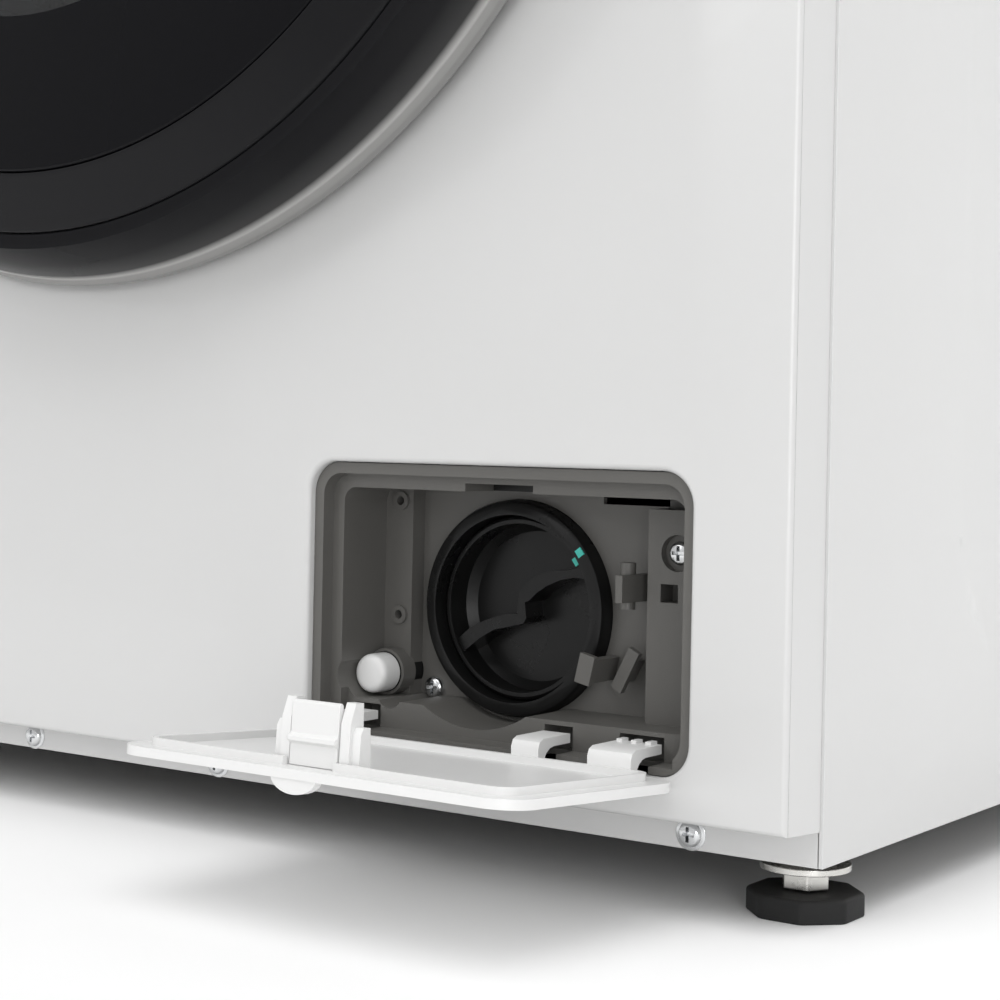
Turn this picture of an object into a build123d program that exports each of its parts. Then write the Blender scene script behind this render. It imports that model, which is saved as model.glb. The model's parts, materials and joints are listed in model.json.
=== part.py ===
from build123d import *
import math
import os

# Front load washing machine, millimetres. X runs to the right, Y to the back, Z up.
# Every depth below is measured from the front edge of the side panels, and the
# finished pieces are moved together so that the origin is under the middle of the whole.

# Cabinet
SIDE_ROOM = 26.5
CABINET_DEPTH = 540.0
HEAD_ROOM = 130.5
MOTOR_ROOM = 157.5
SHEET = 1.5
FOOT_HEIGHT = 20.0
WORKTOP_HEIGHT = 19.0
WORKTOP_WALL = 3.0
FASCIA_HEIGHT = 106.0
FASCIA_WALL = 2.5
FRONT_DEPTH = 16.0
FRONT_ROUND = 6.0
FRONT_EDGE = 2.0
FRONT_DRAFT = 4.2
FRONT_INSET = 1.0
KICK_GAP = 11.0
KICK_HEIGHT = 20.0
FOLD = 15.0
SEAM = 0.5
FIT = 0.3
RUNNING = 0.05
SWAGE_INSET = 100.0
SWAGE_LIFT = 48.0
SWAGE_SHOULDER = 28.0
SWAGE_DEPTH = 3.0
PAN_WALL = 2.0
PAN_HEIGHT = 20.0

# Levelling feet
FOOT_INSET_X = 18.0
FOOT_INSET_Y = 25.0
PAD_ACROSS = 35.0
PAD_HEIGHT = 7.5
STUD_RADIUS = 4.0
NUT_ACROSS = 14.0
NUT_HEIGHT = 6.0
NUT_FLANGE_RADIUS = 14.5
NUT_FLANGE = 2.2
NUT_DROP = 3.7
NUT_SEAT_RADIUS = 9.5
FOOT_BOSS_RADIUS = 13.0
FOOT_BOSS_HEIGHT = 22.0

# Door
DOOR_RADIUS = 245.6
DOOR_STANDOFF = 3.0
DOOR_THICKNESS = 29.0
RING_WIDTH = 13.5
RING_WALL = 3.5
WINDOW_CROWN = 7.0
WINDOW_WALL = 3.0
WINDOW_LINE_RADIUS = 206.0
BOWL_RADIUS = 150.5
BOWL_WALL = 5.5
BOWL_FLANGE = 14.5
BOWL_DEPTH = 133.0
FRAME_WALL = 4.0
DISH_DEPTH = 2.0
DISH_MARGIN = 3.5
APERTURE_RADIUS = 180.0
APERTURE_COLLAR = 12.0
HINGE_OUT = 10.4
HINGE_PIN_RADIUS = 3.0
HINGE_KNUCKLE_RADIUS = 7.0
HINGE_KNUCKLE = 22.0
HINGE_BARREL = 39.0
HINGE_AHEAD = 14.0
HOOK_INSET = 23.6
HOOK_REACH = 46.0
HOOK_HEIGHT = 18.0
GRIP_HEIGHT = 110.0

# Drum and tub
DRUM_RADIUS = 240.0
DRUM_WALL = 1.5
DRUM_MOUTH_RADIUS = 168.0
DRUM_FRONT = 70.5
DRUM_BACK = 372.0
LIFTER_COUNT = 3
LIFTER_HEIGHT = 48.0
LIFTER_WIDTH = 64.0
TUB_GAP = 18.0
TUB_WALL = 4.0
TUB_NECK_RADIUS = 185.0
TUB_FRONT = 58.0
TUB_NECK = 14.0
TUB_SPLIT = 227.0
TUB_FLANGE = 9.0
TUB_BACK = 406.0
SPIDER_DEPTH = 22.0
SHAFT_FRONT_RADIUS = 15.0
SHAFT_REAR_RADIUS = 12.5
BEARING_FRONT_RADIUS = 31.0
BEARING_FRONT_WIDTH = 16.0
BEARING_REAR_RADIUS = 26.0
BEARING_REAR_WIDTH = 15.0
BEARING_SPAN = 33.0
HUB_RADIUS = 44.0
COUNTERWEIGHT_DEPTH = 36.0
COUNTERWEIGHT_ARC = 130.0
COUNTERWEIGHT_INSET = 12.0
PULLEY_RADIUS = 150.0
PULLEY_WIDTH = 16.0
PULLEY_GAP = 8.0
MOTOR_PULLEY_RADIUS = 11.0
MOTOR_X = -105.0
MOTOR_DROP = 64.5
MOTOR_RADIUS = 54.0
MOTOR_LENGTH = 136.0
BELT_THICKNESS = 3.5
DAMPER_X = 190.0
DAMPER_Y = 270.0
DAMPER_RADIUS = 16.0
DAMPER_BORE = 12.0
DAMPER_LENGTH = 110.0
SPRING_X = 200.0
SPRING_Y = 300.0
SPRING_RADIUS = 12.0
SPRING_WIRE = 2.5
SPRING_TURNS = 8
SPRING_DROP = 42.5
TUB_TRAVEL = 8.0

# Service recess, flap and filter
SERVICE_INSET = 115.5
OPENING_WIDTH = 153.5
OPENING_HEIGHT = 95.0
OPENING_BOTTOM = 44.0
OPENING_ROUND = 11.0
COLLAR = 2.5
COLLAR_DEPTH = 6.0
POCKET_OFFSET = 1.0
POCKET_WIDTH = 138.0
POCKET_TOP = 130.0
POCKET_FLOOR = 56.0
POCKET_BACK = 24.0
HOUSING_WALL = 2.0
RIM_BAND = 3.8
RIM_STEP = 5.7
APRON_Y = -3.0
POST_WIDTH = 12.0
POST_FRONT = 17.0
PAD_FRONT = 12.0
PAD_OFFSET = 45.0
FILTER_OFFSET = 13.3
FILTER_Z = 89.2
MOUTH_RADIUS = 37.5
MOUTH_FRONT = 20.0
MOUTH_LIP = 2.5
CAP_RADIUS = 31.8
CAP_RIM = 2.4
CAP_FRONT = 22.5
CAP_DISH = 12.5
WING_DROP = 1.5
BASKET_RADIUS = 25.5
CHAMBER_LENGTH = 90.0
CHAMBER_WALL = 3.5
SEAL_SECTION = 3.4
IMPELLER_RADIUS = 24.0
IMPELLER_BLADES = 6
PUMP_MOTOR_RADIUS = 27.0
PUMP_MOTOR_LENGTH = 48.0
PLUG_OFFSET = 62.5
PLUG_Z = 64.0
PLUG_RADIUS = 6.9
PLUG_REACH = 15.5
PLUG_BOSS = 6.0
FLAP_GAP = 0.6
FLAP_WALL = 3.0
FLAP_RIB = 2.4
FLAP_RIB_INSET = 6.5
FLAP_ANGLE = 86.0
PIVOT_Y = -13.5
PIVOT_Z = 43.5
HOOK_INNER = 6.0
HOOK_OUTER = 9.0
ARM_REACH = 9.5
ARM_NUB = 1.0
HOOK_ARM_SPOTS = ((-58.75, 10.5, 0), (21.25, 10.5, 0), (53.0, 16.0, 3))
CLIP_FRONT = 5.0
UPPER_CLIP_OFFSET = 38.3
UPPER_CLIP_Z = 99.8
LOWER_CLIP_OFFSET = 24.2
LOWER_CLIP_Z = 72.0
LATCH_OFFSET = -1.85
LATCH_WIDTH = 18.3
LATCH_DEPTH = 19.5
LATCH_DROP = 10.7
LATCH_RIDGE = 1.6
BRACKET_HEIGHT = 20.0
BRACKET_STEP = 13.0
LATCH_GAP = 0.5
LIP_RADIUS = 8.8

# Controls and detergent drawer
DRAWER_INSET = 21.5
DRAWER_WIDTH = 170.0
DRAWER_HEIGHT = 78.0
DRAWER_DEPTH = 255.0
DRAWER_WALL = 2.0
DRAWER_LIFT = 14.0
HOUSING_DEPTH = 275.0
KNOB_X = 0.0
KNOB_RADIUS = 27.0
KNOB_DEPTH = 22.0
SPINDLE_RADIUS = 5.0
LENS_X = 105.0
LENS_WIDTH = 120.0
LENS_HEIGHT = 40.0
START_INSET = 92.5
START_RADIUS = 12.0
POWER_INSET = 42.5
POWER_RADIUS = 9.0
OPTION_WIDTH = 34.0
OPTION_HEIGHT = 9.0
BUTTON_PROUD = 2.5
BUTTON_TRAVEL = 2.0

# Rear services
COVER_WIDTH = 380.0
COVER_HEIGHT = 420.0
COVER_DROP = 38.5
COVER_BULGE = 9.0
INLET_RADIUS = 13.2
INLET_INSET = 62.5
INLET_PITCH = 50.0
INLET_DROP = 50.5
INLET_LENGTH = 16.0
GLAND_INSET = 62.5
GLAND_RADIUS = 10.0
GLAND_BORE = 4.0
OUTLET_INSET = 42.5
OUTLET_DROP = 130.5
HOSE_RADIUS = 11.0
HOSE_BORE = 8.5
HOSE_BEND = 40.0
SPIGOT_RADIUS = 10.5
SPIGOT_LENGTH = 25.0
SPIGOT_FLANGE = 3.0
SPIGOT_FLANGE_RADIUS = 16.0
SUMP_X = 60.0
SUMP_Y = 90.0
SUMP_RADIUS = 16.5
SUMP_WALL = 3.0
DISPENSER_X = -150.0
DISPENSER_Y = 180.0
TRANSIT_INSET = 72.5
TRANSIT_LOW = 208.5
TRANSIT_HIGH = 191.5
TRANSIT_RADIUS = 10.0
SCREW_HEAD_RADIUS = 4.0
SCREW_SHANK_RADIUS = 2.0
SCREW_LENGTH = 8.0

# Places that follow from the sizes above
TUB_RADIUS = DRUM_RADIUS + TUB_GAP + TUB_WALL
TUB_BORE = TUB_RADIUS - TUB_WALL
CABINET_WIDTH = 2 * (TUB_RADIUS + TUB_FLANGE + SIDE_ROOM)
DRUM_Z = FOOT_HEIGHT + MOTOR_ROOM + TUB_RADIUS + TUB_FLANGE
CABINET_HEIGHT = DRUM_Z + TUB_RADIUS + TUB_FLANGE + HEAD_ROOM
MOTOR_Z = DRUM_Z - TUB_RADIUS - MOTOR_DROP
COUNTERWEIGHT_RADIUS = TUB_RADIUS - COUNTERWEIGHT_INSET
HALF = CABINET_WIDTH / 2
SERVICE_X = HALF - SERVICE_INSET
OPENING_X = SERVICE_X
POCKET_X = SERVICE_X + POCKET_OFFSET
PAD_LEFT = SERVICE_X + PAD_OFFSET
FILTER_X = SERVICE_X - FILTER_OFFSET
PLUG_X = SERVICE_X - PLUG_OFFSET
LATCH_X = SERVICE_X + LATCH_OFFSET
HOOK_ARMS = tuple((SERVICE_X + spot, width, nubs) for spot, width, nubs in HOOK_ARM_SPOTS)
ARM_SWEEP = math.hypot(ARM_REACH, HOOK_OUTER + ARM_NUB) + 2 * FIT
DRAWER_LEFT = DRAWER_INSET - HALF
START_X = HALF - START_INSET
POWER_X = HALF - POWER_INSET
INLET_X = (INLET_INSET - HALF, INLET_INSET + INLET_PITCH - HALF)
GLAND_X = HALF - GLAND_INSET
OUTLET_X = HALF - OUTLET_INSET
TRANSIT_X = HALF - TRANSIT_INSET
TRANSIT_Z = (DRUM_Z - TRANSIT_LOW, DRUM_Z + TRANSIT_HIGH)
COVER_Z = DRUM_Z - COVER_DROP
INSIDE = HALF - SHEET
SIDE_TOP = CABINET_HEIGHT - WORKTOP_HEIGHT - SEAM
SPRING_TOP = SIDE_TOP - SPRING_DROP
INLET_Z = SIDE_TOP - INLET_DROP
OUTLET_Z = SIDE_TOP - OUTLET_DROP
FASCIA_BOTTOM = SIDE_TOP - FASCIA_HEIGHT
FASCIA_Z = (SIDE_TOP + FASCIA_BOTTOM) / 2
FRONT_TOP = FASCIA_BOTTOM - SEAM
FRONT_BOTTOM = FOOT_HEIGHT + KICK_GAP
FRONT_Y = -FRONT_DEPTH
PAN_FLOOR = FOOT_HEIGHT + SHEET + PAN_WALL
REAR_Y = CABINET_DEPTH + SHEET
FOOT_X = HALF - FOOT_INSET_X
FOOT_YS = (FOOT_INSET_Y, CABINET_DEPTH - FOOT_INSET_Y)
DOOR_REAR = FRONT_Y - DOOR_STANDOFF
DOOR_FRONT = DOOR_REAR - DOOR_THICKNESS
RING_INNER = DOOR_RADIUS - RING_WIDTH
FRAME_FRONT = DOOR_REAR - FRAME_WALL
HINGE_X = -DOOR_RADIUS - HINGE_OUT
HOOK_X = DOOR_RADIUS - HOOK_INSET
HINGE_Y = FRONT_Y - HINGE_AHEAD
HOOK_PIVOT_Y = DOOR_REAR - 13.0
OPENING_Z = OPENING_BOTTOM + OPENING_HEIGHT / 2
OPENING_TOP = OPENING_BOTTOM + OPENING_HEIGHT
FLAP_TOP = OPENING_TOP - FLAP_GAP
FLAP_BOTTOM = PIVOT_Z + PIVOT_Y - FRONT_Y + FIT
FLAP_INNER = FRONT_Y + FLAP_WALL
RIM_FRONT = FLAP_INNER + FIT
POCKET_LEFT = POCKET_X - POCKET_WIDTH / 2
POCKET_RIGHT = POCKET_X + POCKET_WIDTH / 2
CAP_BORE = CAP_RADIUS + 0.7
CHAMBER_BACK = MOUTH_FRONT + CHAMBER_LENGTH
BASKET_BACK = CHAMBER_BACK - 10.0
BEARING_FRONT_Y = TUB_BACK
BEARING_REAR_Y = BEARING_FRONT_Y + BEARING_SPAN
HUB_BACK = BEARING_REAR_Y + BEARING_REAR_WIDTH + 3.0
PULLEY_FRONT = HUB_BACK + PULLEY_GAP
PULLEY_BACK = PULLEY_FRONT + PULLEY_WIDTH
MOTOR_BACK = PULLEY_FRONT - 30.0
MOTOR_FRONT = MOTOR_BACK - MOTOR_LENGTH
MOTOR_SEAT = MOTOR_Z + MOTOR_RADIUS + 14.0
DAMPER_TOP = PAN_FLOOR + 40.0 + DAMPER_LENGTH
DAMPER_SEAT = DRUM_Z - math.sqrt(TUB_RADIUS**2 - DAMPER_X**2) - 14.0
EAR_TOP = DRUM_Z + math.sqrt(TUB_RADIUS**2 - SPRING_X**2) + 22.0
DRAWER_X = DRAWER_LEFT + DRAWER_WIDTH / 2
DRAWER_BOTTOM = FASCIA_BOTTOM + DRAWER_LIFT
DRAWER_Z = DRAWER_BOTTOM + DRAWER_HEIGHT / 2
DRAWER_FLOOR = DRAWER_BOTTOM + 3 * FIT
DISPENSER_TUB_Z = DRUM_Z + math.sqrt(TUB_RADIUS**2 - DISPENSER_X**2)
SUMP_TUB_Z = DRUM_Z - math.sqrt(TUB_RADIUS**2 - SUMP_X**2)
INLET_NECK_RADIUS = INLET_RADIUS - 1.0
INLET_START = REAR_Y + FIT
INTAKE_Z = FILTER_Z + 6.0
INTAKE_X = FILTER_X - MOUTH_RADIUS - 22.0


def block(x0, x1, y0, y1, z0, z1):
    """A box between three pairs of faces."""
    box = Box(x1 - x0, y1 - y0, z1 - z0)
    return Pos((x0 + x1) / 2, (y0 + y1) / 2, (z0 + z1) / 2) * box


def rod_x(radius, y, z, x0, x1):
    """A round bar along X."""
    return Pos((x0 + x1) / 2, y, z) * Rot(0, 90, 0) * Cylinder(radius, x1 - x0)


def rod_y(radius, x, z, y0, y1):
    """A round bar along Y."""
    return Pos(x, (y0 + y1) / 2, z) * Rot(90, 0, 0) * Cylinder(radius, y1 - y0)


def rod_z(radius, x, y, z0, z1):
    """A round bar along Z."""
    return Pos(x, y, (z0 + z1) / 2) * Cylinder(radius, z1 - z0)


def turned(points, x, z):
    """A closed (radius, y) outline turned about the Y direction through (x, z)."""
    corners = [(x + radius, y, z) for radius, y in points]
    outline = make_face(Polyline(*corners, close=True))
    return revolve(outline, axis=Axis((x, 0, z), (0, 1, 0)))


def turned_edges(edges):
    """A closed outline of (radius, y) edges turned about the drum's axis."""
    outline = make_face(edges)
    return Pos(0, 0, DRUM_Z) * revolve(outline, axis=Axis.Y)


def slab(width, height, radius, x, z, y0, y1):
    """A plate with rounded corners that faces along Y."""
    outline = Plane.XZ * RectangleRounded(width, height, radius)
    return Pos(x, y1, z) * extrude(outline, amount=y1 - y0)


def prism_y(points, y0, y1):
    """A closed (x, z) outline drawn out along Y."""
    outline = make_face(Polyline(*[(x, y0, z) for x, z in points], close=True))
    return extrude(outline, amount=y1 - y0, dir=(0, 1, 0))


def prism_x(points, x0, x1):
    """A closed (y, z) outline drawn out along X."""
    outline = make_face(Polyline(*[(x0, y, z) for y, z in points], close=True))
    return extrude(outline, amount=x1 - x0, dir=(1, 0, 0))


def mirrored(shape):
    """The same piece on the other side of the cabinet."""
    return mirror(shape, about=Plane.YZ)


def fused(pieces):
    """One solid from a list of touching ones."""
    whole = pieces[0]
    for piece in pieces[1:]:
        whole = whole + piece
    return whole


def cut(shape, tools):
    """A solid with each tool taken out of it."""
    for tool in tools:
        shape = shape - tool
    return shape


def group(solids):
    """Separate solids that are one kind of piece."""
    return Compound(children=[solid.solid() for solid in solids])


def hex_y(across, x, z, y0, y1):
    """A hexagon bar along Y."""
    outline = Plane.XZ * RegularPolygon(across / 2, 6, major_radius=False)
    return Pos(x, y1, z) * extrude(outline, amount=y1 - y0)


# Cabinet


def swage(face_x, width, height, round_radius, depth):
    """The tapered plug between the two outlines of a side panel's recess."""
    middle_y = CABINET_DEPTH / 2
    middle_z = (FOOT_HEIGHT + SWAGE_LIFT + SIDE_TOP - SWAGE_LIFT) / 2
    place = Pos(middle_y, middle_z)
    rim = Plane.YZ.offset(face_x) * place * RectangleRounded(width, height, round_radius)
    narrow = RectangleRounded(
        width - 2 * SWAGE_SHOULDER, height - 2 * SWAGE_SHOULDER, round_radius / 2
    )
    floor = Plane.YZ.offset(face_x - depth) * place * narrow
    return loft([floor.face(), rim.face()])


def side_panel():
    """The right side panel: skin, front and rear folds, and the wide stiffening recess."""
    skin = block(INSIDE, HALF, 0, CABINET_DEPTH, FOOT_HEIGHT, SIDE_TOP)
    fold_foot = FOOT_HEIGHT + KICK_HEIGHT + SEAM
    front_fold = block(INSIDE - FOLD, INSIDE, 0, SHEET, fold_foot, SIDE_TOP)
    rear = CABINET_DEPTH
    rear_fold = block(INSIDE - FOLD, INSIDE, rear - SHEET, rear, FOOT_HEIGHT, SIDE_TOP)
    width = CABINET_DEPTH - 2 * SWAGE_INSET
    height = SIDE_TOP - FOOT_HEIGHT - 2 * SWAGE_LIFT
    radius = 2 * SWAGE_SHOULDER
    back = swage(INSIDE, width, height, radius, SWAGE_DEPTH)
    hollow = swage(HALF, width, height, radius, SWAGE_DEPTH)
    return fused([skin, front_fold, rear_fold, back]) - hollow


def kick_rail():
    """The shaded rail under the front panel, folded back at its foot."""
    width = INSIDE - FIT
    face = block(-width, width, 0, SHEET, FOOT_HEIGHT, FOOT_HEIGHT + KICK_HEIGHT)
    fold = block(-width, width, SHEET, FOLD, FOOT_HEIGHT, FOOT_HEIGHT + SHEET)
    rail = face + fold
    holes = [rod_y(SCREW_SHANK_RADIUS + FIT, x, KICK_SCREW_Z, -1, SHEET + 1) for x in KICK_SCREW_XS]
    return cut(rail, holes)


KICK_SCREW_Z = FOOT_HEIGHT + KICK_GAP / 2 - 0.5
KICK_SCREW_XS = (45.5 - HALF, -50.0, 50.0, HALF - 45.5)


def base_pan():
    """The tray at the foot of the cabinet, with a boss over each foot and cross ribs."""
    width = INSIDE - FIT
    front, back = SHEET + FIT, CABINET_DEPTH - SHEET - FIT
    foot = FOOT_HEIGHT + SHEET
    tray = block(-width, width, front, back, foot, foot + PAN_HEIGHT)
    inner = block(
        PAN_WALL - width, width - PAN_WALL, front + PAN_WALL, back - PAN_WALL,
        PAN_FLOOR, foot + PAN_HEIGHT + 1,
    )
    pan = tray - inner
    for x in (-width / 2, 0, width / 2):
        pan = pan + block(x - 1, x + 1, front, back, foot, PAN_FLOOR + 5.0)
    for x in (-FOOT_X, FOOT_X):
        for y in FOOT_YS:
            pan = pan + rod_z(FOOT_BOSS_RADIUS, x, y, foot, foot + FOOT_BOSS_HEIGHT)
            pan = pan + rod_z(NUT_SEAT_RADIUS, x, y, FOOT_HEIGHT - NUT_DROP, foot + 1)
    for x in (-FOOT_X, FOOT_X):
        for y in FOOT_YS:
            pan = pan - rod_z(STUD_RADIUS + RUNNING, x, y, 0, foot + FOOT_BOSS_HEIGHT + 1)
    screw_holes = [rod_y(SCREW_SHANK_RADIUS + FIT, x, KICK_SCREW_Z, 0, SCREW_LENGTH + 1) for x in KICK_SCREW_XS]
    return cut(pan, screw_holes)


def foot(x, y):
    """An octagonal pad with its threaded stud."""
    pad = extrude(RegularPolygon(PAD_ACROSS / 2, 8, major_radius=False, rotation=22.5), amount=PAD_HEIGHT)
    pad = fillet(pad.edges().filter_by(Axis.Z), PAD_HEIGHT / 2)
    pad = chamfer(pad.edges().group_by(Axis.Z)[-1], PAD_HEIGHT / 9)
    stud = rod_z(STUD_RADIUS, 0, 0, PAD_HEIGHT, FOOT_HEIGHT + FOOT_BOSS_HEIGHT)
    return Pos(x, y, 0) * (pad + stud)


def lock_nut(x, y):
    """A flange nut that locks a foot under the cabinet."""
    under = FOOT_HEIGHT - NUT_DROP
    flange = rod_z(NUT_FLANGE_RADIUS, 0, 0, under - NUT_FLANGE, under)
    hexagon = RegularPolygon(NUT_ACROSS / 2, 6, major_radius=False)
    body = Pos(0, 0, under - NUT_FLANGE - NUT_HEIGHT) * extrude(hexagon, amount=NUT_HEIGHT)
    bore = rod_z(STUD_RADIUS + RUNNING, 0, 0, 0, under + 1)
    return Pos(x, y, 0) * (flange + body - bore)


def foot_lock_nuts():
    """The four flange nuts."""
    return group([lock_nut(x, y) for x in (-FOOT_X, FOOT_X) for y in FOOT_YS])


def panel_block(inset, back):
    """The front panel's outer form, or its hollow when it is inset."""
    lean = FRONT_DRAFT / FRONT_DEPTH
    front = FRONT_Y + inset
    near = HALF - FRONT_INSET + front * lean - inset
    far = HALF - FRONT_INSET + back * lean - inset
    corners = [(-near, front), (near, front), (far, back), (-far, back)]
    outline = make_face(Polyline(*[(x, y, FRONT_BOTTOM + inset) for x, y in corners], close=True))
    form = extrude(outline, amount=FRONT_TOP - FRONT_BOTTOM - 2 * inset, dir=(0, 0, 1))
    face = form.faces().sort_by(Axis.Y)[0]
    return fillet(face.edges(), FRONT_EDGE - inset / 2)


def opening_collar():
    """The rolled edge of the service opening."""
    wide = slab(
        OPENING_WIDTH + 2 * COLLAR, OPENING_HEIGHT + 2 * COLLAR, OPENING_ROUND + COLLAR,
        OPENING_X, OPENING_Z, FRONT_Y, FRONT_Y + COLLAR_DEPTH,
    )
    clear = slab(
        OPENING_WIDTH, OPENING_HEIGHT, OPENING_ROUND, OPENING_X, OPENING_Z, FRONT_Y - 1, 0
    )
    ring = wide - clear
    front = ring.faces().sort_by(Axis.Y)[0]
    return fillet(front.inner_wires()[0].edges(), COLLAR * 0.8)


def front_panel():
    """The pressed front: door dish, boot collar, hook slot and service opening."""
    panel = panel_block(0, 0) - panel_block(SHEET, 1)
    dish_outer = DOOR_RADIUS + DISH_MARGIN
    inner_face = FRONT_Y + SHEET
    panel = panel + rod_y(dish_outer + SHEET, 0, DRUM_Z, inner_face, inner_face + DISH_DEPTH)
    dish = turned(
        [(0, FRONT_Y - 1), (dish_outer, FRONT_Y - 1), (dish_outer, FRONT_Y),
         (dish_outer - 2 * DISH_DEPTH, FRONT_Y + DISH_DEPTH), (0, FRONT_Y + DISH_DEPTH)], 0, DRUM_Z,
    )
    panel = panel - dish
    collar_back = FRONT_Y + APERTURE_COLLAR
    collar = rod_y(APERTURE_RADIUS + DRUM_WALL * 2, 0, DRUM_Z, FRONT_Y + DISH_DEPTH, collar_back)
    panel = panel + collar - rod_y(APERTURE_RADIUS, 0, DRUM_Z, FRONT_Y - 1, 1)
    slot = slab(HOOK_SLOT_WIDTH, HOOK_HEIGHT + 12.0, 4.0, HOOK_X, DRUM_Z, FRONT_Y - 1, 0)
    wide = slab(
        OPENING_WIDTH + 2 * COLLAR, OPENING_HEIGHT + 2 * COLLAR, OPENING_ROUND + COLLAR,
        OPENING_X, OPENING_Z, FRONT_Y - 1, 0,
    )
    return panel - slot - wide + opening_collar()


HOOK_SLOT_WIDTH = 28.0


def top_cover():
    """The worktop: a shallow lid with rounded edges, hollow below."""
    foot_z = CABINET_HEIGHT - WORKTOP_HEIGHT
    lid = block(-HALF, HALF, FRONT_Y, REAR_Y, foot_z, CABINET_HEIGHT)
    top = lid.faces().sort_by(Axis.Z)[-1]
    lid = fillet(top.edges(), FRONT_ROUND)
    rim = 4 * WORKTOP_WALL
    hollow = block(
        rim - HALF, HALF - rim, FRONT_Y + rim, REAR_Y - rim,
        foot_z - 1, CABINET_HEIGHT - 2 * WORKTOP_WALL,
    )
    return lid - hollow


def spring_brace():
    """The channel across the top that carries the two springs."""
    web = block(-INSIDE, INSIDE, SPRING_Y - 15, SPRING_Y + 15, SPRING_TOP, SPRING_TOP + SHEET)
    front = block(-INSIDE, INSIDE, SPRING_Y - 15, SPRING_Y - 15 + SHEET, SPRING_TOP, SPRING_TOP + 14)
    back = block(-INSIDE, INSIDE, SPRING_Y + 15 - SHEET, SPRING_Y + 15, SPRING_TOP, SPRING_TOP + 14)
    return fused([web, front, back])


# Rear


def rear_panel():
    """The back sheet with its access hole, pressed grooves and service holes."""
    width = HALF - SEAM
    sheet = block(-width, width, CABINET_DEPTH, REAR_Y, FOOT_HEIGHT + SEAM, SIDE_TOP)
    hole = slab(COVER_WIDTH - 40, COVER_HEIGHT - 40, 50, 0, COVER_Z, CABINET_DEPTH - 1, REAR_Y + 1)
    sheet = sheet - hole
    for z in (COVER_Z + COVER_HEIGHT / 2 + 40, COVER_Z + COVER_HEIGHT / 2 + 70):
        sheet = sheet - slab(300, 8, 3.9, 0, z, REAR_Y - SHEET / 2, REAR_Y + 1)
    for x in INLET_X:
        sheet = sheet - rod_y(INLET_NECK_RADIUS + FIT, x, INLET_Z, CABINET_DEPTH - 1, REAR_Y + 1)
    sheet = sheet - rod_y(GLAND_RADIUS + FIT, GLAND_X, INLET_Z, CABINET_DEPTH - 1, REAR_Y + 1)
    sheet = sheet - rod_y(HOSE_RADIUS + FIT, OUTLET_X, OUTLET_Z, CABINET_DEPTH - 1, REAR_Y + 1)
    for x in (-TRANSIT_X, TRANSIT_X):
        for z in TRANSIT_Z:
            sheet = sheet - rod_y(TRANSIT_RADIUS + FIT, x, z, CABINET_DEPTH - 1, REAR_Y + 1)
    for x, z in COVER_SCREWS:
        sheet = sheet - rod_y(SCREW_SHANK_RADIUS + FIT, x, z, CABINET_DEPTH - 1, REAR_Y + 1)
    return sheet


COVER_SCREWS = tuple(
    (x, COVER_Z + z)
    for x in (12 - COVER_WIDTH / 2, COVER_WIDTH / 2 - 12)
    for z in (60 - COVER_HEIGHT / 2, 0, COVER_HEIGHT / 2 - 60)
)


def rear_service_cover():
    """The bulged cover over the belt, on a flat flange."""
    def bulge(front, back, inset):
        wide = Plane.XZ.offset(-front) * RectangleRounded(
            COVER_WIDTH - 44 - inset, COVER_HEIGHT - 44 - inset, 46
        )
        narrow = Plane.XZ.offset(-back) * RectangleRounded(
            COVER_WIDTH - 84 - inset, COVER_HEIGHT - 84 - inset, 30
        )
        return Pos(0, 0, COVER_Z) * loft([wide.face(), narrow.face()])

    flange = slab(COVER_WIDTH, COVER_HEIGHT, 60, 0, COVER_Z, REAR_Y, REAR_Y + SHEET)
    dome = bulge(REAR_Y + SHEET, REAR_Y + SHEET + COVER_BULGE, 0)
    hollow = bulge(REAR_Y, REAR_Y + COVER_BULGE, 2 * SHEET)
    cover = flange + dome - hollow
    for x, z in COVER_SCREWS:
        cover = cover - rod_y(SCREW_SHANK_RADIUS + FIT, x, z, REAR_Y - 1, REAR_Y + SHEET + 1)
    for index in range(-3, 4):
        vent = slab(120, 6, 2.9, 0, COVER_Z + 18 * index, REAR_Y, REAR_Y + COVER_BULGE + 5)
        cover = cover - vent
    return cover


def inlet_valve():
    """The twin inlet valve: block, two threaded ends and two coils."""
    left, right = INLET_X
    body = block(left - 18, right + 18, CABINET_DEPTH - 40, CABINET_DEPTH - FIT, INLET_Z - 16, INLET_Z + 16)
    valve = fillet(body.edges().filter_by(Axis.Y), 5)
    for x in INLET_X:
        coil = rod_z(13, x, CABINET_DEPTH - 22, INLET_Z - 44, INLET_Z - 16)
        spout = rod_y(7, x, INLET_Z, CABINET_DEPTH - 64, CABINET_DEPTH - 40)
        neck = rod_y(INLET_NECK_RADIUS, x, INLET_Z, CABINET_DEPTH - FIT, INLET_START)
        thread = rod_y(INLET_RADIUS, x, INLET_Z, INLET_START, INLET_START + INLET_LENGTH)
        valve = fused([valve, coil, spout, neck, thread])
    for x in INLET_X:
        valve = valve - rod_y(INLET_RADIUS - 3, x, INLET_Z, CABINET_DEPTH - 10, INLET_START + INLET_LENGTH + 1)
    return valve


def cable_gland():
    """The bush that the mains lead leaves through."""
    neck = rod_y(GLAND_RADIUS, GLAND_X, INLET_Z, CABINET_DEPTH - 12, REAR_Y)
    flange = rod_y(GLAND_RADIUS + 5, GLAND_X, INLET_Z, REAR_Y, REAR_Y + 5)
    bore = rod_y(GLAND_BORE, GLAND_X, INLET_Z, CABINET_DEPTH - 13, REAR_Y + 6)
    return neck + flange - bore


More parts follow.
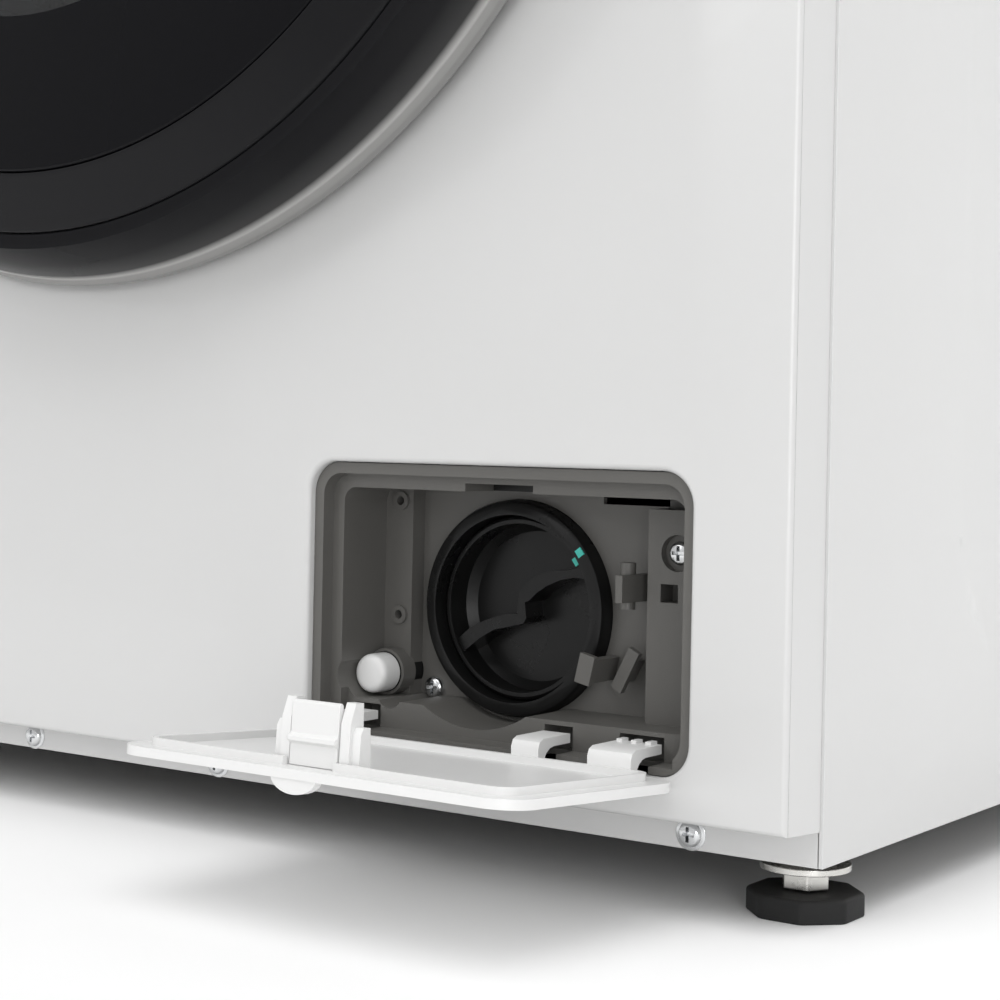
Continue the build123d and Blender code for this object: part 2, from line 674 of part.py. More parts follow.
def transit_plugs():
    """The four caps over the transit bolt holes."""
    plugs = []
    for x in (-TRANSIT_X, TRANSIT_X):
        for z in TRANSIT_Z:
            cap = turned(
                [(0, CABINET_DEPTH - 10), (TRANSIT_RADIUS - 2, CABINET_DEPTH - 10), (TRANSIT_RADIUS, REAR_Y),
                 (TRANSIT_RADIUS + 5, REAR_Y), (TRANSIT_RADIUS + 5, REAR_Y + 2), (TRANSIT_RADIUS + 2, REAR_Y + 4),
                 (0, REAR_Y + 4)], x, z,
            )
            plugs.append(cap)
    return group(plugs)


def screw(x, z, seat, side, head_height):
    """A washer-head screw along Y: side is -1 when its head faces the front."""
    head = seat + side * head_height
    washer = seat + side * head_height * 0.35
    low, high = sorted((seat, washer))
    flange = rod_y(SCREW_HEAD_RADIUS, x, z, low, high)
    low, high = sorted((washer, head))
    hexagon = hex_y(SCREW_HEAD_RADIUS * 1.4, x, z, low, high)
    low, high = sorted((seat, seat - side * SCREW_LENGTH))
    shank = rod_y(SCREW_SHANK_RADIUS, x, z, low, high)
    return fused([flange, hexagon, shank])


def casing_screws():
    """Kick rail, rear cover and recess screws."""
    kick = [screw(x, KICK_SCREW_Z, 0, -1, 4.0) for x in KICK_SCREW_XS]
    cover = [screw(x, z, REAR_Y + SHEET, 1, 4.0) for x, z in COVER_SCREWS]
    recess = [screw(x, z, y, -1, 3.0) for x, z, y in RECESS_SCREWS]
    return group(kick + cover + recess)


RECESS_SCREWS = ((SERVICE_X - 49.5, POCKET_FLOOR + 2.5, POCKET_BACK), (SERVICE_X + 56.0, POCKET_TOP - 18.0, PAD_FRONT + 3.0))


# Door


def door_ring():
    """The outer ring: a swept-back rim with a lip for the window, open behind."""
    outer = DOOR_RADIUS
    wall = RING_WALL
    inner = RING_INNER
    front = DOOR_FRONT
    foot_y = DOOR_REAR
    edges = [
        Line((outer, foot_y), (outer, foot_y - 3.5)),
        ThreePointArc((outer, foot_y - 3.5), (outer - 0.9, foot_y - 5.2), (outer - 2, foot_y - 6)),
        ThreePointArc(
            (outer - 2, foot_y - 6), (outer - 5.6, (foot_y + front) / 2 - 3.5), (inner + 2, front)
        ),
        Line((inner + 2, front), (inner - wall, front)),
        Line((inner - wall, front), (inner - wall, front + wall)),
        Line((inner - wall, front + wall), (inner, front + wall)),
        Line((inner, front + wall), (outer - wall - 3, foot_y - 9)),
        Line((outer - wall - 3, foot_y - 9), (outer - wall, foot_y - 4)),
        Line((outer - wall, foot_y - 4), (outer - wall, foot_y)),
        Line((outer - wall, foot_y), (outer, foot_y)),
    ]
    ring = turned_edges(edges)
    half_arm = HINGE_BARREL / 2 + FIT
    arm_gap = block(
        HINGE_X, 20 - RING_INNER, HINGE_Y - 4 - FIT, DOOR_REAR + 1, DRUM_Z - half_arm, DRUM_Z + half_arm
    )
    grip = slab(30, GRIP_HEIGHT, 10, outer + 5, DRUM_Z, DOOR_REAR - 14, DOOR_REAR + 1)
    return ring - arm_gap - grip


def door_window():
    """The dark domed window, with the thin groove that frames its clear middle."""
    rim = RING_INNER - FIT
    seat = RING_INNER - RING_WALL - FIT
    ledge = DOOR_FRONT + RING_WALL + FIT
    wall = WINDOW_WALL
    line = WINDOW_LINE_RADIUS
    shoulder = DOOR_FRONT - 4.0
    crown = DOOR_FRONT - WINDOW_CROWN
    flat = line / 3
    outline = [
        Line((rim, ledge + wall), (rim, ledge)),
        Line((rim, ledge), (seat, ledge)),
        Line((seat, ledge), (seat, DOOR_FRONT - 0.4)),
        Line((seat, DOOR_FRONT - 0.4), (line + 0.6, shoulder)),
        Line((line + 0.6, shoulder), (line + 0.6, shoulder + 1)),
        Line((line + 0.6, shoulder + 1), (line - 0.6, shoulder + 1)),
        Line((line - 0.6, shoulder + 1), (line - 0.6, shoulder)),
        ThreePointArc((line - 0.6, shoulder), ((line + flat) / 2, crown + 0.8), (flat, crown)),
        Line((flat, crown), (0, crown)),
        Line((0, crown), (0, crown + wall)),
        Line((0, crown + wall), (flat, crown + wall)),
        ThreePointArc((flat, crown + wall), ((line + flat) / 2, crown + 0.8 + wall), (line - 4, shoulder + wall)),
        Line((line - 4, shoulder + wall), (rim, ledge + wall)),
    ]
    return turned_edges(outline)


def door_bowl():
    """The glass bowl that reaches into the drum's mouth."""
    outer = BOWL_RADIUS
    wall = BOWL_WALL
    seat = FRAME_FRONT - FIT
    tip = FRAME_FRONT + BOWL_DEPTH
    knee = seat + 0.3 * BOWL_DEPTH
    deep = seat + 0.8 * BOWL_DEPTH
    outline = [
        Line((outer - wall, seat - 4), (outer + BOWL_FLANGE, seat - 4)),
        Line((outer + BOWL_FLANGE, seat - 4), (outer + BOWL_FLANGE, seat)),
        Line((outer + BOWL_FLANGE, seat), (outer, seat)),
        Line((outer, seat), (outer - 4.5, knee)),
        Line((outer - 4.5, knee), (outer - 30, deep)),
        ThreePointArc((outer - 30, deep), (outer - 50, tip - 9), (outer - 75, tip - 3.5)),
        Line((outer - 75, tip - 3.5), (0, tip)),
        Line((0, tip), (0, tip - wall)),
        Line((0, tip - wall), (outer - 76, tip - 3.5 - wall)),
        ThreePointArc(
            (outer - 76, tip - 3.5 - wall), (outer - 53, tip - 8.5 - wall), (outer - 30 - wall, deep - 2)
        ),
        Line((outer - 30 - wall, deep - 2), (outer - 4.5 - wall, knee)),
        Line((outer - 4.5 - wall, knee), (outer - wall, seat - 4)),
    ]
    return turned_edges(outline)


def door_frame():
    """The rear frame of the door, with the ears that hold the hook's pin."""
    rim = DOOR_RADIUS - RING_WALL - FIT
    frame = turned(
        [(BOWL_RADIUS + FIT, DOOR_REAR - 0.2), (BOWL_RADIUS + FIT, FRAME_FRONT), (rim, FRAME_FRONT),
         (rim, DOOR_REAR - 0.2)], 0, DRUM_Z,
    )
    rib = turned(
        [(RING_INNER - 22, FRAME_FRONT), (RING_INNER - 20, FRAME_FRONT), (RING_INNER - 20, FRAME_FRONT - 8),
         (RING_INNER - 22, FRAME_FRONT - 8)], 0, DRUM_Z,
    )
    frame = frame + rib
    window = block(
        HOOK_X - 10, HOOK_X + 8, HOOK_PIVOT_Y - 6, DOOR_REAR + 1,
        DRUM_Z - HOOK_HEIGHT / 2 - 1, DRUM_Z + HOOK_HEIGHT / 2 + 1,
    )
    frame = frame - window
    for side in (-1, 1):
        middle = DRUM_Z + side * (HOOK_HEIGHT / 2 + 3)
        ear = block(HOOK_X - 5, HOOK_X + 5, HOOK_PIVOT_Y - 5, FRAME_FRONT + 1, middle - 2, middle + 2)
        frame = frame + ear
    frame = frame - rod_z(2.5 + RUNNING, HOOK_X, HOOK_PIVOT_Y, DRUM_Z - 40, DRUM_Z + 40)
    half_arm = HINGE_BARREL / 2 + FIT
    arm_gap = block(
        -DOOR_RADIUS, 16 - RING_INNER, HINGE_Y - 5, FRAME_FRONT, DRUM_Z - half_arm, DRUM_Z + half_arm
    )
    grip = slab(30, GRIP_HEIGHT, 10, DOOR_RADIUS + 5, DRUM_Z, DOOR_REAR - 14, DOOR_REAR + 1)
    return frame - arm_gap - grip


def door_hook():
    """The sprung hook on its pin."""
    half = HOOK_HEIGHT / 2
    tip = HOOK_PIVOT_Y + HOOK_REACH
    tongue = block(HOOK_X - 4, HOOK_X + 4, HOOK_PIVOT_Y, tip, DRUM_Z - half, DRUM_Z + half)
    boss = rod_z(4.5, HOOK_X, HOOK_PIVOT_Y, DRUM_Z - half, DRUM_Z + half)
    barb = extrude(
        make_face(Polyline((HOOK_X + 4, tip - 9, DRUM_Z - half), (HOOK_X + 9, tip - 9, DRUM_Z - half),
                           (HOOK_X + 4, tip, DRUM_Z - half), close=True)), amount=HOOK_HEIGHT, dir=(0, 0, 1),
    )
    pin = rod_z(2.5, HOOK_X, HOOK_PIVOT_Y, DRUM_Z - half - 5, DRUM_Z + half + 5)
    return fused([tongue, boss, barb, pin])


def door_lock():
    """The interlock behind the front panel, with the pocket that takes the hook."""
    front = FRONT_Y + SHEET + DISH_DEPTH + FIT / 3
    tip = HOOK_PIVOT_Y + HOOK_REACH
    body = block(HOOK_X - 20, HOOK_X + 23, front, tip + 14, DRUM_Z - 42, DRUM_Z + 42)
    body = fillet(body.edges().filter_by(Axis.Y), 4)
    pocket = block(
        HOOK_X - HOOK_SLOT_WIDTH / 2, HOOK_X + HOOK_SLOT_WIDTH / 2, front - 1, tip + 4,
        DRUM_Z - HOOK_HEIGHT / 2 - 5, DRUM_Z + HOOK_HEIGHT / 2 + 5,
    )
    plug = block(HOOK_X - 12, HOOK_X + 12, tip + 14, tip + 22, DRUM_Z - 36, DRUM_Z - 18)
    return body - pocket + plug


def hinge_bracket():
    """The plate on the front panel with two knuckles and the pin through them."""
    inner = HINGE_BARREL / 2 + 0.5
    outer = inner + HINGE_KNUCKLE
    right = -(DOOR_RADIUS + DISH_MARGIN)
    plate = slab(
        30, 2 * outer + 20, 5, right - 15.5, DRUM_Z, FRONT_Y - 3, FRONT_Y
    )
    bracket = plate
    for low, high in ((-outer, -inner), (inner, outer)):
        knuckle = rod_z(HINGE_KNUCKLE_RADIUS, HINGE_X, HINGE_Y, DRUM_Z + low, DRUM_Z + high)
        web = block(
            HINGE_X - HINGE_KNUCKLE_RADIUS, HINGE_X + HINGE_KNUCKLE_RADIUS - 1, HINGE_Y, FRONT_Y - 3,
            DRUM_Z + low, DRUM_Z + high,
        )
        bracket = bracket + knuckle + web
    pin = rod_z(HINGE_PIN_RADIUS, HINGE_X, HINGE_Y, DRUM_Z - outer, DRUM_Z + outer)
    return bracket + pin


def door_hinge_arm():
    """The barrel on the hinge pin and the strap that is bolted inside the ring."""
    half = HINGE_BARREL / 2
    barrel = rod_z(HINGE_KNUCKLE_RADIUS, HINGE_X, HINGE_Y, DRUM_Z - half, DRUM_Z + half)
    strap = block(HINGE_X, 17 - RING_INNER, HINGE_Y - 4, FRAME_FRONT, DRUM_Z - half, DRUM_Z + half)
    bore = rod_z(HINGE_PIN_RADIUS + RUNNING, HINGE_X, HINGE_Y, DRUM_Z - half - 1, DRUM_Z + half + 1)
    return barrel + strap - bore


def door_boot():
    """The rubber bellows from the front panel's collar to the tub's neck."""
    front = FRONT_Y + 1
    collar_back = FRONT_Y + APERTURE_COLLAR + 0.2
    bead = APERTURE_RADIUS - FIT
    neck = TUB_NECK_RADIUS + FIT
    tub_face = TUB_FRONT - FIT
    lip = BOWL_RADIUS - 2.3
    lip_y = collar_back + 14
    return turned(
        [(bead, front), (bead, collar_back), (bead + 4.5, collar_back), (bead + 4.5, collar_back + 6),
         (bead + 1, collar_back + 10), (bead + 1, collar_back + 22), (neck + 4, collar_back + 30),
         (neck + 4, tub_face), (neck, tub_face), (neck, collar_back + 33), (bead - 3, collar_back + 24),
         (bead - 3, lip_y + 5), (bead - 12, lip_y + 6), (lip, lip_y + 1), (lip, lip_y - 1.5),
         (bead - 13, lip_y + 1.5), (bead - 5, lip_y - 1), (bead - 5.5, collar_back), (bead - 7, front)],
        0, DRUM_Z,
    )


# Tub, drum and drive


def tub_front():
    """The front half of the tub with its neck, sump and dispenser spouts."""
    flange = TUB_RADIUS + TUB_FLANGE
    shell = turned(
        [(TUB_NECK_RADIUS - TUB_WALL, TUB_FRONT - TUB_NECK), (TUB_NECK_RADIUS, TUB_FRONT - TUB_NECK),
         (TUB_NECK_RADIUS, TUB_FRONT), (TUB_RADIUS - 3, TUB_FRONT), (TUB_RADIUS, TUB_FRONT + 3),
         (TUB_RADIUS, TUB_SPLIT - 8), (flange, TUB_SPLIT - 8), (flange, TUB_SPLIT), (TUB_BORE, TUB_SPLIT),
         (TUB_BORE, TUB_FRONT + TUB_WALL), (TUB_NECK_RADIUS - TUB_WALL, TUB_FRONT + TUB_WALL)], 0, DRUM_Z,
    )
    clear = rod_y(TUB_BORE + 1, 0, DRUM_Z, 0, TUB_SPLIT)
    sump = rod_z(SUMP_RADIUS, SUMP_X, SUMP_Y, SUMP_TUB_Z - 26, SUMP_TUB_Z + 20) - clear
    spout = rod_z(SUMP_RADIUS, DISPENSER_X, DISPENSER_Y, DISPENSER_TUB_Z - 30, DISPENSER_TUB_Z + 24) - clear
    shell = shell + sump + spout
    bore = SUMP_RADIUS - SUMP_WALL
    shell = shell - rod_z(bore, SUMP_X, SUMP_Y, SUMP_TUB_Z - 27, SUMP_TUB_Z + 20)
    return shell - rod_z(bore, DISPENSER_X, DISPENSER_Y, DISPENSER_TUB_Z - 30, DISPENSER_TUB_Z + 25)


def tub_rear():
    """The rear half of the tub: ribs, bearing hub, spring ears, damper and motor lugs."""
    flange = TUB_RADIUS + TUB_FLANGE
    split = TUB_SPLIT + 0.2
    seat_front = BEARING_FRONT_RADIUS + RUNNING
    seat_rear = BEARING_REAR_RADIUS + RUNNING
    shoulder = BEARING_FRONT_Y + BEARING_FRONT_WIDTH + 0.2
    shell = turned(
        [(TUB_BORE, split), (flange, split), (flange, split + 8), (TUB_RADIUS, split + 8),
         (TUB_RADIUS, TUB_BACK - 4), (TUB_BORE, TUB_BACK), (HUB_RADIUS + 16, TUB_BACK),
         (HUB_RADIUS, TUB_BACK + 8), (HUB_RADIUS, HUB_BACK), (seat_rear, HUB_BACK),
         (seat_rear, BEARING_REAR_Y - 0.2), (SHAFT_FRONT_RADIUS + 5, BEARING_REAR_Y - 0.2),
         (SHAFT_FRONT_RADIUS + 5, shoulder), (seat_front, shoulder), (seat_front, TUB_BACK - TUB_WALL),
         (TUB_BORE - 4, TUB_BACK - TUB_WALL), (TUB_BORE, TUB_BACK - TUB_WALL - 4)], 0, DRUM_Z,
    )
    for index in range(12):
        rib = prism_y([(HUB_RADIUS - 3, -2), (TUB_RADIUS - 3, -2), (TUB_RADIUS - 3, 2), (HUB_RADIUS - 3, 2)],
                      TUB_BACK - 1, TUB_BACK + 12)
        shell = shell + Pos(0, 0, DRUM_Z) * rib.rotate(Axis.Y, 30 * index + 15)
    clear = rod_y(TUB_BORE + 1, 0, DRUM_Z, TUB_SPLIT, TUB_BACK - 1)
    for x in (-SPRING_X, SPRING_X):
        ear = block(x - 13, x + 13, SPRING_Y - 13, SPRING_Y + 13, EAR_TOP - 40, EAR_TOP)
        shell = shell + (ear - clear)
    for x in (-DAMPER_X, DAMPER_X):
        lug = block(x - 12, x + 12, DAMPER_Y - 10, DAMPER_Y + 10, DAMPER_SEAT, DAMPER_SEAT + 40)
        shell = shell + (lug - clear)
    motor_y = (MOTOR_FRONT + MOTOR_BACK) / 2
    lug = block(MOTOR_X - 35, MOTOR_X + 35, motor_y - 30, motor_y + 30, MOTOR_SEAT, MOTOR_SEAT + 45)
    return shell + (lug - clear)


def counterweights():
    """Two cast blocks, above and below the tub's mouth."""
    inner = TUB_NECK_RADIUS + 15
    corners = [(inner, 0), (COUNTERWEIGHT_RADIUS, 0), (COUNTERWEIGHT_RADIUS, 0), (inner, 0)]
    back = TUB_FRONT - 0.1
    front = back - COUNTERWEIGHT_DEPTH
    ys = (front, front, back, back)
    outline = make_face(Polyline(*[(r, y, 0) for (r, _), y in zip(corners, ys)], close=True))
    arc = revolve(outline, axis=Axis.Y, revolution_arc=COUNTERWEIGHT_ARC)
    upper = arc.rotate(Axis.Y, -90 - COUNTERWEIGHT_ARC / 2)
    lower = arc.rotate(Axis.Y, 90 - COUNTERWEIGHT_ARC / 2)
    return group([Pos(0, 0, DRUM_Z) * upper, Pos(0, 0, DRUM_Z) * lower])


def bearing(outer, bore, width, y):
    """One ball bearing as a ring, with its shield grooves."""
    middle = (outer + bore) / 2
    return turned(
        [(bore, y), (middle - 3, y), (middle - 3, y + 1), (middle + 3, y + 1), (middle + 3, y), (outer, y),
         (outer, y + width), (bore, y + width)], 0, DRUM_Z,
    )


def drum_bearings():
    """The front and rear bearing in the tub's hub."""
    front = bearing(
        BEARING_FRONT_RADIUS, SHAFT_FRONT_RADIUS + RUNNING, BEARING_FRONT_WIDTH, BEARING_FRONT_Y
    )
    rear = bearing(BEARING_REAR_RADIUS, SHAFT_REAR_RADIUS + RUNNING, BEARING_REAR_WIDTH, BEARING_REAR_Y)
    return group([front, rear])


def drum_shell():
    """The drum: rolled mouth, wall and dished back in one sheet."""
    wall = DRUM_WALL
    outer = DRUM_RADIUS
    mouth = DRUM_MOUTH_RADIUS
    return turned(
        [(mouth, DRUM_FRONT - 6), (mouth + wall, DRUM_FRONT - 6), (mouth + wall, DRUM_FRONT),
         (outer - 3, DRUM_FRONT), (outer, DRUM_FRONT + 3), (outer, DRUM_BACK), (outer - 25, DRUM_BACK),
         (outer / 2, DRUM_BACK - 10), (0, DRUM_BACK - 10), (0, DRUM_BACK - 10 - wall),
         (outer / 2, DRUM_BACK - 10 - wall), (outer - 25, DRUM_BACK - wall), (outer - wall, DRUM_BACK - wall),
         (outer - wall, DRUM_FRONT + 3.6), (outer - 3.6, DRUM_FRONT + wall), (mouth, DRUM_FRONT + wall)],
        0, DRUM_Z,
    )


def drum_lifters():
    """The paddles inside the drum."""
    inner = DRUM_RADIUS - DRUM_WALL - FIT / 2
    tip = inner - LIFTER_HEIGHT
    half = LIFTER_WIDTH / 2
    section = [
        (-half, -inner - 5), (-half, 6 - inner), (-half / 3, -tip - 6), (-half / 6, -tip),
        (half / 6, -tip), (half / 3, -tip - 6), (half, 6 - inner), (half, -inner - 5),
    ]
    front, back = DRUM_FRONT + 24, DRUM_BACK - 20
    blank = prism_y(section, front, back) & rod_y(inner, 0, 0, front - 1, back + 1)
    paddles = []
    for index in range(LIFTER_COUNT):
        turn = 180 + 360 * index / LIFTER_COUNT
        paddles.append(Pos(0, 0, DRUM_Z) * blank.rotate(Axis.Y, turn))
    return group(paddles)


def drum_spider():
    """The cast three-arm spider with the stepped drum shaft."""
    reach = DRUM_RADIUS - 6
    back = DRUM_BACK + SPIDER_DEPTH
    arm = prism_y([(0, -26), (reach, -14), (reach, 14), (0, 26)], DRUM_BACK, back - 6)
    groove = prism_y([(50, -14), (reach - 12, -6), (reach - 12, 6), (50, 14)], DRUM_BACK + 8, back)
    arm = arm - groove
    spider = rod_y(36, 0, 0, DRUM_BACK - 10, back)
    for index in range(3):
        spider = spider + arm.rotate(Axis.Y, 30 + 120 * index)
    step = BEARING_FRONT_Y + BEARING_FRONT_WIDTH + 4
    spider = spider + rod_y(SHAFT_FRONT_RADIUS, 0, 0, back, step)
    spider = spider + rod_y(SHAFT_REAR_RADIUS, 0, 0, step, PULLEY_BACK - 2)
    return Pos(0, 0, DRUM_Z) * spider


def drum_pulley():
    """The spoked pulley with its flat rim, and the bolt that holds it."""
    rim = turned(
        [(PULLEY_RADIUS - 8, PULLEY_FRONT), (PULLEY_RADIUS, PULLEY_FRONT), (PULLEY_RADIUS, PULLEY_BACK),
         (PULLEY_RADIUS - 8, PULLEY_BACK)], 0, 0,
    )
    hub = rod_y(26, 0, 0, PULLEY_FRONT - 4, PULLEY_BACK + 2)
    wheel = rim + hub
    middle = (PULLEY_FRONT + PULLEY_BACK) / 2
    spoke = prism_y([(20, -11), (PULLEY_RADIUS - 5, -7), (PULLEY_RADIUS - 5, 7), (20, 11)], middle - 3, middle + 3)
    for index in range(6):
        wheel = wheel + spoke.rotate(Axis.Y, 60 * index)
    wheel = wheel - rod_y(SHAFT_REAR_RADIUS + RUNNING, 0, 0, PULLEY_FRONT - 5, PULLEY_BACK + 3)
    bolt = hex_y(17, 0, 0, PULLEY_BACK + 4, PULLEY_BACK + 11)
    bolt = bolt + rod_y(18, 0, 0, PULLEY_BACK + 2, PULLEY_BACK + 4)
    return Pos(0, 0, DRUM_Z) * group([wheel, bolt])


def drive_motor():
    """The motor under the tub: ribbed can, end shields and mounting saddle."""
    can = rod_y(MOTOR_RADIUS, MOTOR_X, MOTOR_Z, MOTOR_FRONT + 14, MOTOR_BACK - 14)
    motor = can
    for start in (MOTOR_FRONT, MOTOR_BACK - 14):
        motor = motor + rod_y(MOTOR_RADIUS - 6, MOTOR_X, MOTOR_Z, start, start + 14)
    middle = (MOTOR_FRONT + MOTOR_BACK) / 2
    saddle = block(
        MOTOR_X - 35, MOTOR_X + 35, middle - 30, middle + 30, MOTOR_Z + MOTOR_RADIUS - 20, MOTOR_SEAT
    )
    motor = motor + saddle
    for index in range(5):
        y = MOTOR_FRONT + 26 + 21 * index
        groove = rod_y(MOTOR_RADIUS + 1, MOTOR_X, MOTOR_Z, y - 3, y + 3)
        groove = groove - rod_y(MOTOR_RADIUS - 3, MOTOR_X, MOTOR_Z, y - 4, y + 4)
        above = block(MOTOR_X - 80, MOTOR_X + 80, y - 5, y + 5, MOTOR_Z, MOTOR_SEAT + 20)
        motor = motor - (groove - above)
    return motor - rod_y(6 + RUNNING, MOTOR_X, MOTOR_Z, MOTOR_BACK - 30, MOTOR_BACK + 1)


def motor_pulley():
    """The motor shaft with its small flanged pulley."""
    shaft = rod_y(6, MOTOR_X, MOTOR_Z, MOTOR_BACK - 28, PULLEY_BACK + 3)
    wheel = rod_y(MOTOR_PULLEY_RADIUS, MOTOR_X, MOTOR_Z, PULLEY_FRONT, PULLEY_BACK)
    flange = rod_y(MOTOR_PULLEY_RADIUS + 5, MOTOR_X, MOTOR_Z, PULLEY_FRONT - 3, PULLEY_FRONT)
    return fused([shaft, wheel, flange])


def belt_outline(grow, y0, y1):
    """The outline of the belt's loop round both pulleys, grown outwards."""
    large = PULLEY_RADIUS + grow
    small = MOTOR_PULLEY_RADIUS + grow
    reach_x, reach_z = MOTOR_X, MOTOR_Z - DRUM_Z
    span = math.hypot(reach_x, reach_z)
    heading = math.atan2(reach_z, reach_x)
    lean = math.acos((large - small) / span)
    corners = []
    for centre, radius, order in (((0, DRUM_Z), large, (1, -1)), ((MOTOR_X, MOTOR_Z), small, (-1, 1))):
        for side in order:
            angle = heading + side * lean
            corners.append((centre[0] + radius * math.cos(angle), centre[1] + radius * math.sin(angle)))
    loop = prism_y(corners, y0, y1)
    return fused([loop, rod_y(large, 0, DRUM_Z, y0, y1), rod_y(small, MOTOR_X, MOTOR_Z, y0, y1)])


def drive_belt():
    """The flat drive belt."""
    inner = 0.15
    front, back = PULLEY_FRONT + 1, PULLEY_BACK - 1
    return belt_outline(inner + BELT_THICKNESS, front, back) - belt_outline(inner, front - 1, back + 1)


def damper_cylinders():
    """The two damper tubes on their feet."""
    tubes = []
    for x in (-DAMPER_X, DAMPER_X):
        foot_block = block(x - 11, x + 11, DAMPER_Y - 11, DAMPER_Y + 11, PAN_FLOOR, PAN_FLOOR + 41)
        tube = rod_z(DAMPER_RADIUS, x, DAMPER_Y, PAN_FLOOR + 40, DAMPER_TOP)
        bore = rod_z(DAMPER_BORE, x, DAMPER_Y, PAN_FLOOR + 46, DAMPER_TOP + 1)
        tubes.append(foot_block + tube - bore)
    return group(tubes)


def damper_rods():
    """The two damper rods with their pistons."""
    rods = []
    for x in (-DAMPER_X, DAMPER_X):
        rod = rod_z(6, x, DAMPER_Y, DAMPER_TOP - 50, DAMPER_SEAT)
        piston = rod_z(DAMPER_BORE - RUNNING, x, DAMPER_Y, DAMPER_TOP - 60, DAMPER_TOP - 44)
        eye = rod_z(10, x, DAMPER_Y, DAMPER_SEAT - 16, DAMPER_SEAT)
        rods.append(fused([rod, piston, eye]))
    return group(rods)


def suspension_springs():
    """The two coil springs that hang the tub."""
    springs = []
    low, high = EAR_TOP + SPRING_WIRE + FIT, SPRING_TOP - SPRING_WIRE - FIT
    for x in (-SPRING_X, SPRING_X):
        path = Helix((high - low) / SPRING_TURNS, high - low, SPRING_RADIUS)
        start = Plane(origin=path @ 0, z_dir=path % 0)
        coil = sweep(start * Circle(SPRING_WIRE), path=path)
        springs.append(Pos(x, SPRING_Y, low) * coil)
    return group(springs)


# Water ways


def tube_along(points, bends, outer, bore):
    """A hose along straight runs and arcs."""
    path = FilletPolyline(*points, radius=bends)
    start = Plane(origin=path @ 0, z_dir=path % 0)
    return sweep(start * (Circle(outer) - Circle(bore)), path=path)


def tub_hoses():
    """The sump hose to the pump and the hose from the drawer's housing."""
    bore = SUMP_RADIUS + FIT
    sump = tube_along(
        [(SUMP_X, SUMP_Y, SUMP_TUB_Z - 8), (SUMP_X, SUMP_Y, INTAKE_Z), (INTAKE_X + 18, SUMP_Y, INTAKE_Z)],
        34, bore + SUMP_WALL, bore,
    )
    inner = abs(DISPENSER_X) - bore - SUMP_WALL
    low = DRUM_Z + math.sqrt(TUB_RADIUS**2 - inner**2) + 1
    high = DRAWER_BOTTOM - DRAWER_WALL - 6
    spout = rod_z(bore + SUMP_WALL, DISPENSER_X, DISPENSER_Y, low, high)
    spout = spout - rod_z(bore, DISPENSER_X, DISPENSER_Y, low - 1, high + 1)
    return group([sump, spout])


def outlet_hose():
    """The inner drain line from the pump to the bulkhead spigot at the back."""
    start = (OUTLET_PORT_X, PUMP_VOLUTE_Y, OUTLET_PORT_Z - 12)
    bend_z = OUTLET_PORT_Z + 50
    riser_y = CABINET_DEPTH - HOSE_BEND - HOSE_RADIUS
    hose = tube_along(
        [start, (OUTLET_PORT_X, PUMP_VOLUTE_Y, bend_z), (OUTLET_X, PUMP_VOLUTE_Y, bend_z),
         (OUTLET_X, riser_y, bend_z), (OUTLET_X, riser_y, OUTLET_Z), (OUTLET_X, REAR_Y, OUTLET_Z)],
        [30, 30, HOSE_BEND, HOSE_BEND], HOSE_RADIUS, HOSE_BORE,
    )
    flange = rod_y(SPIGOT_FLANGE_RADIUS, OUTLET_X, OUTLET_Z, REAR_Y, REAR_Y + SPIGOT_FLANGE)
    spigot = rod_y(SPIGOT_RADIUS, OUTLET_X, OUTLET_Z, REAR_Y + SPIGOT_FLANGE, REAR_Y + SPIGOT_FLANGE + SPIGOT_LENGTH)
    bore = rod_y(HOSE_BORE, OUTLET_X, OUTLET_Z, REAR_Y - 1, REAR_Y + SPIGOT_FLANGE + SPIGOT_LENGTH + 1)
    return hose + (flange + spigot - bore)


PUMP_VOLUTE_Y = CHAMBER_BACK + 13.0
OUTLET_PORT_X = FILTER_X + 24.0
OUTLET_PORT_Z = FILTER_Z + MOUTH_RADIUS + 24.0


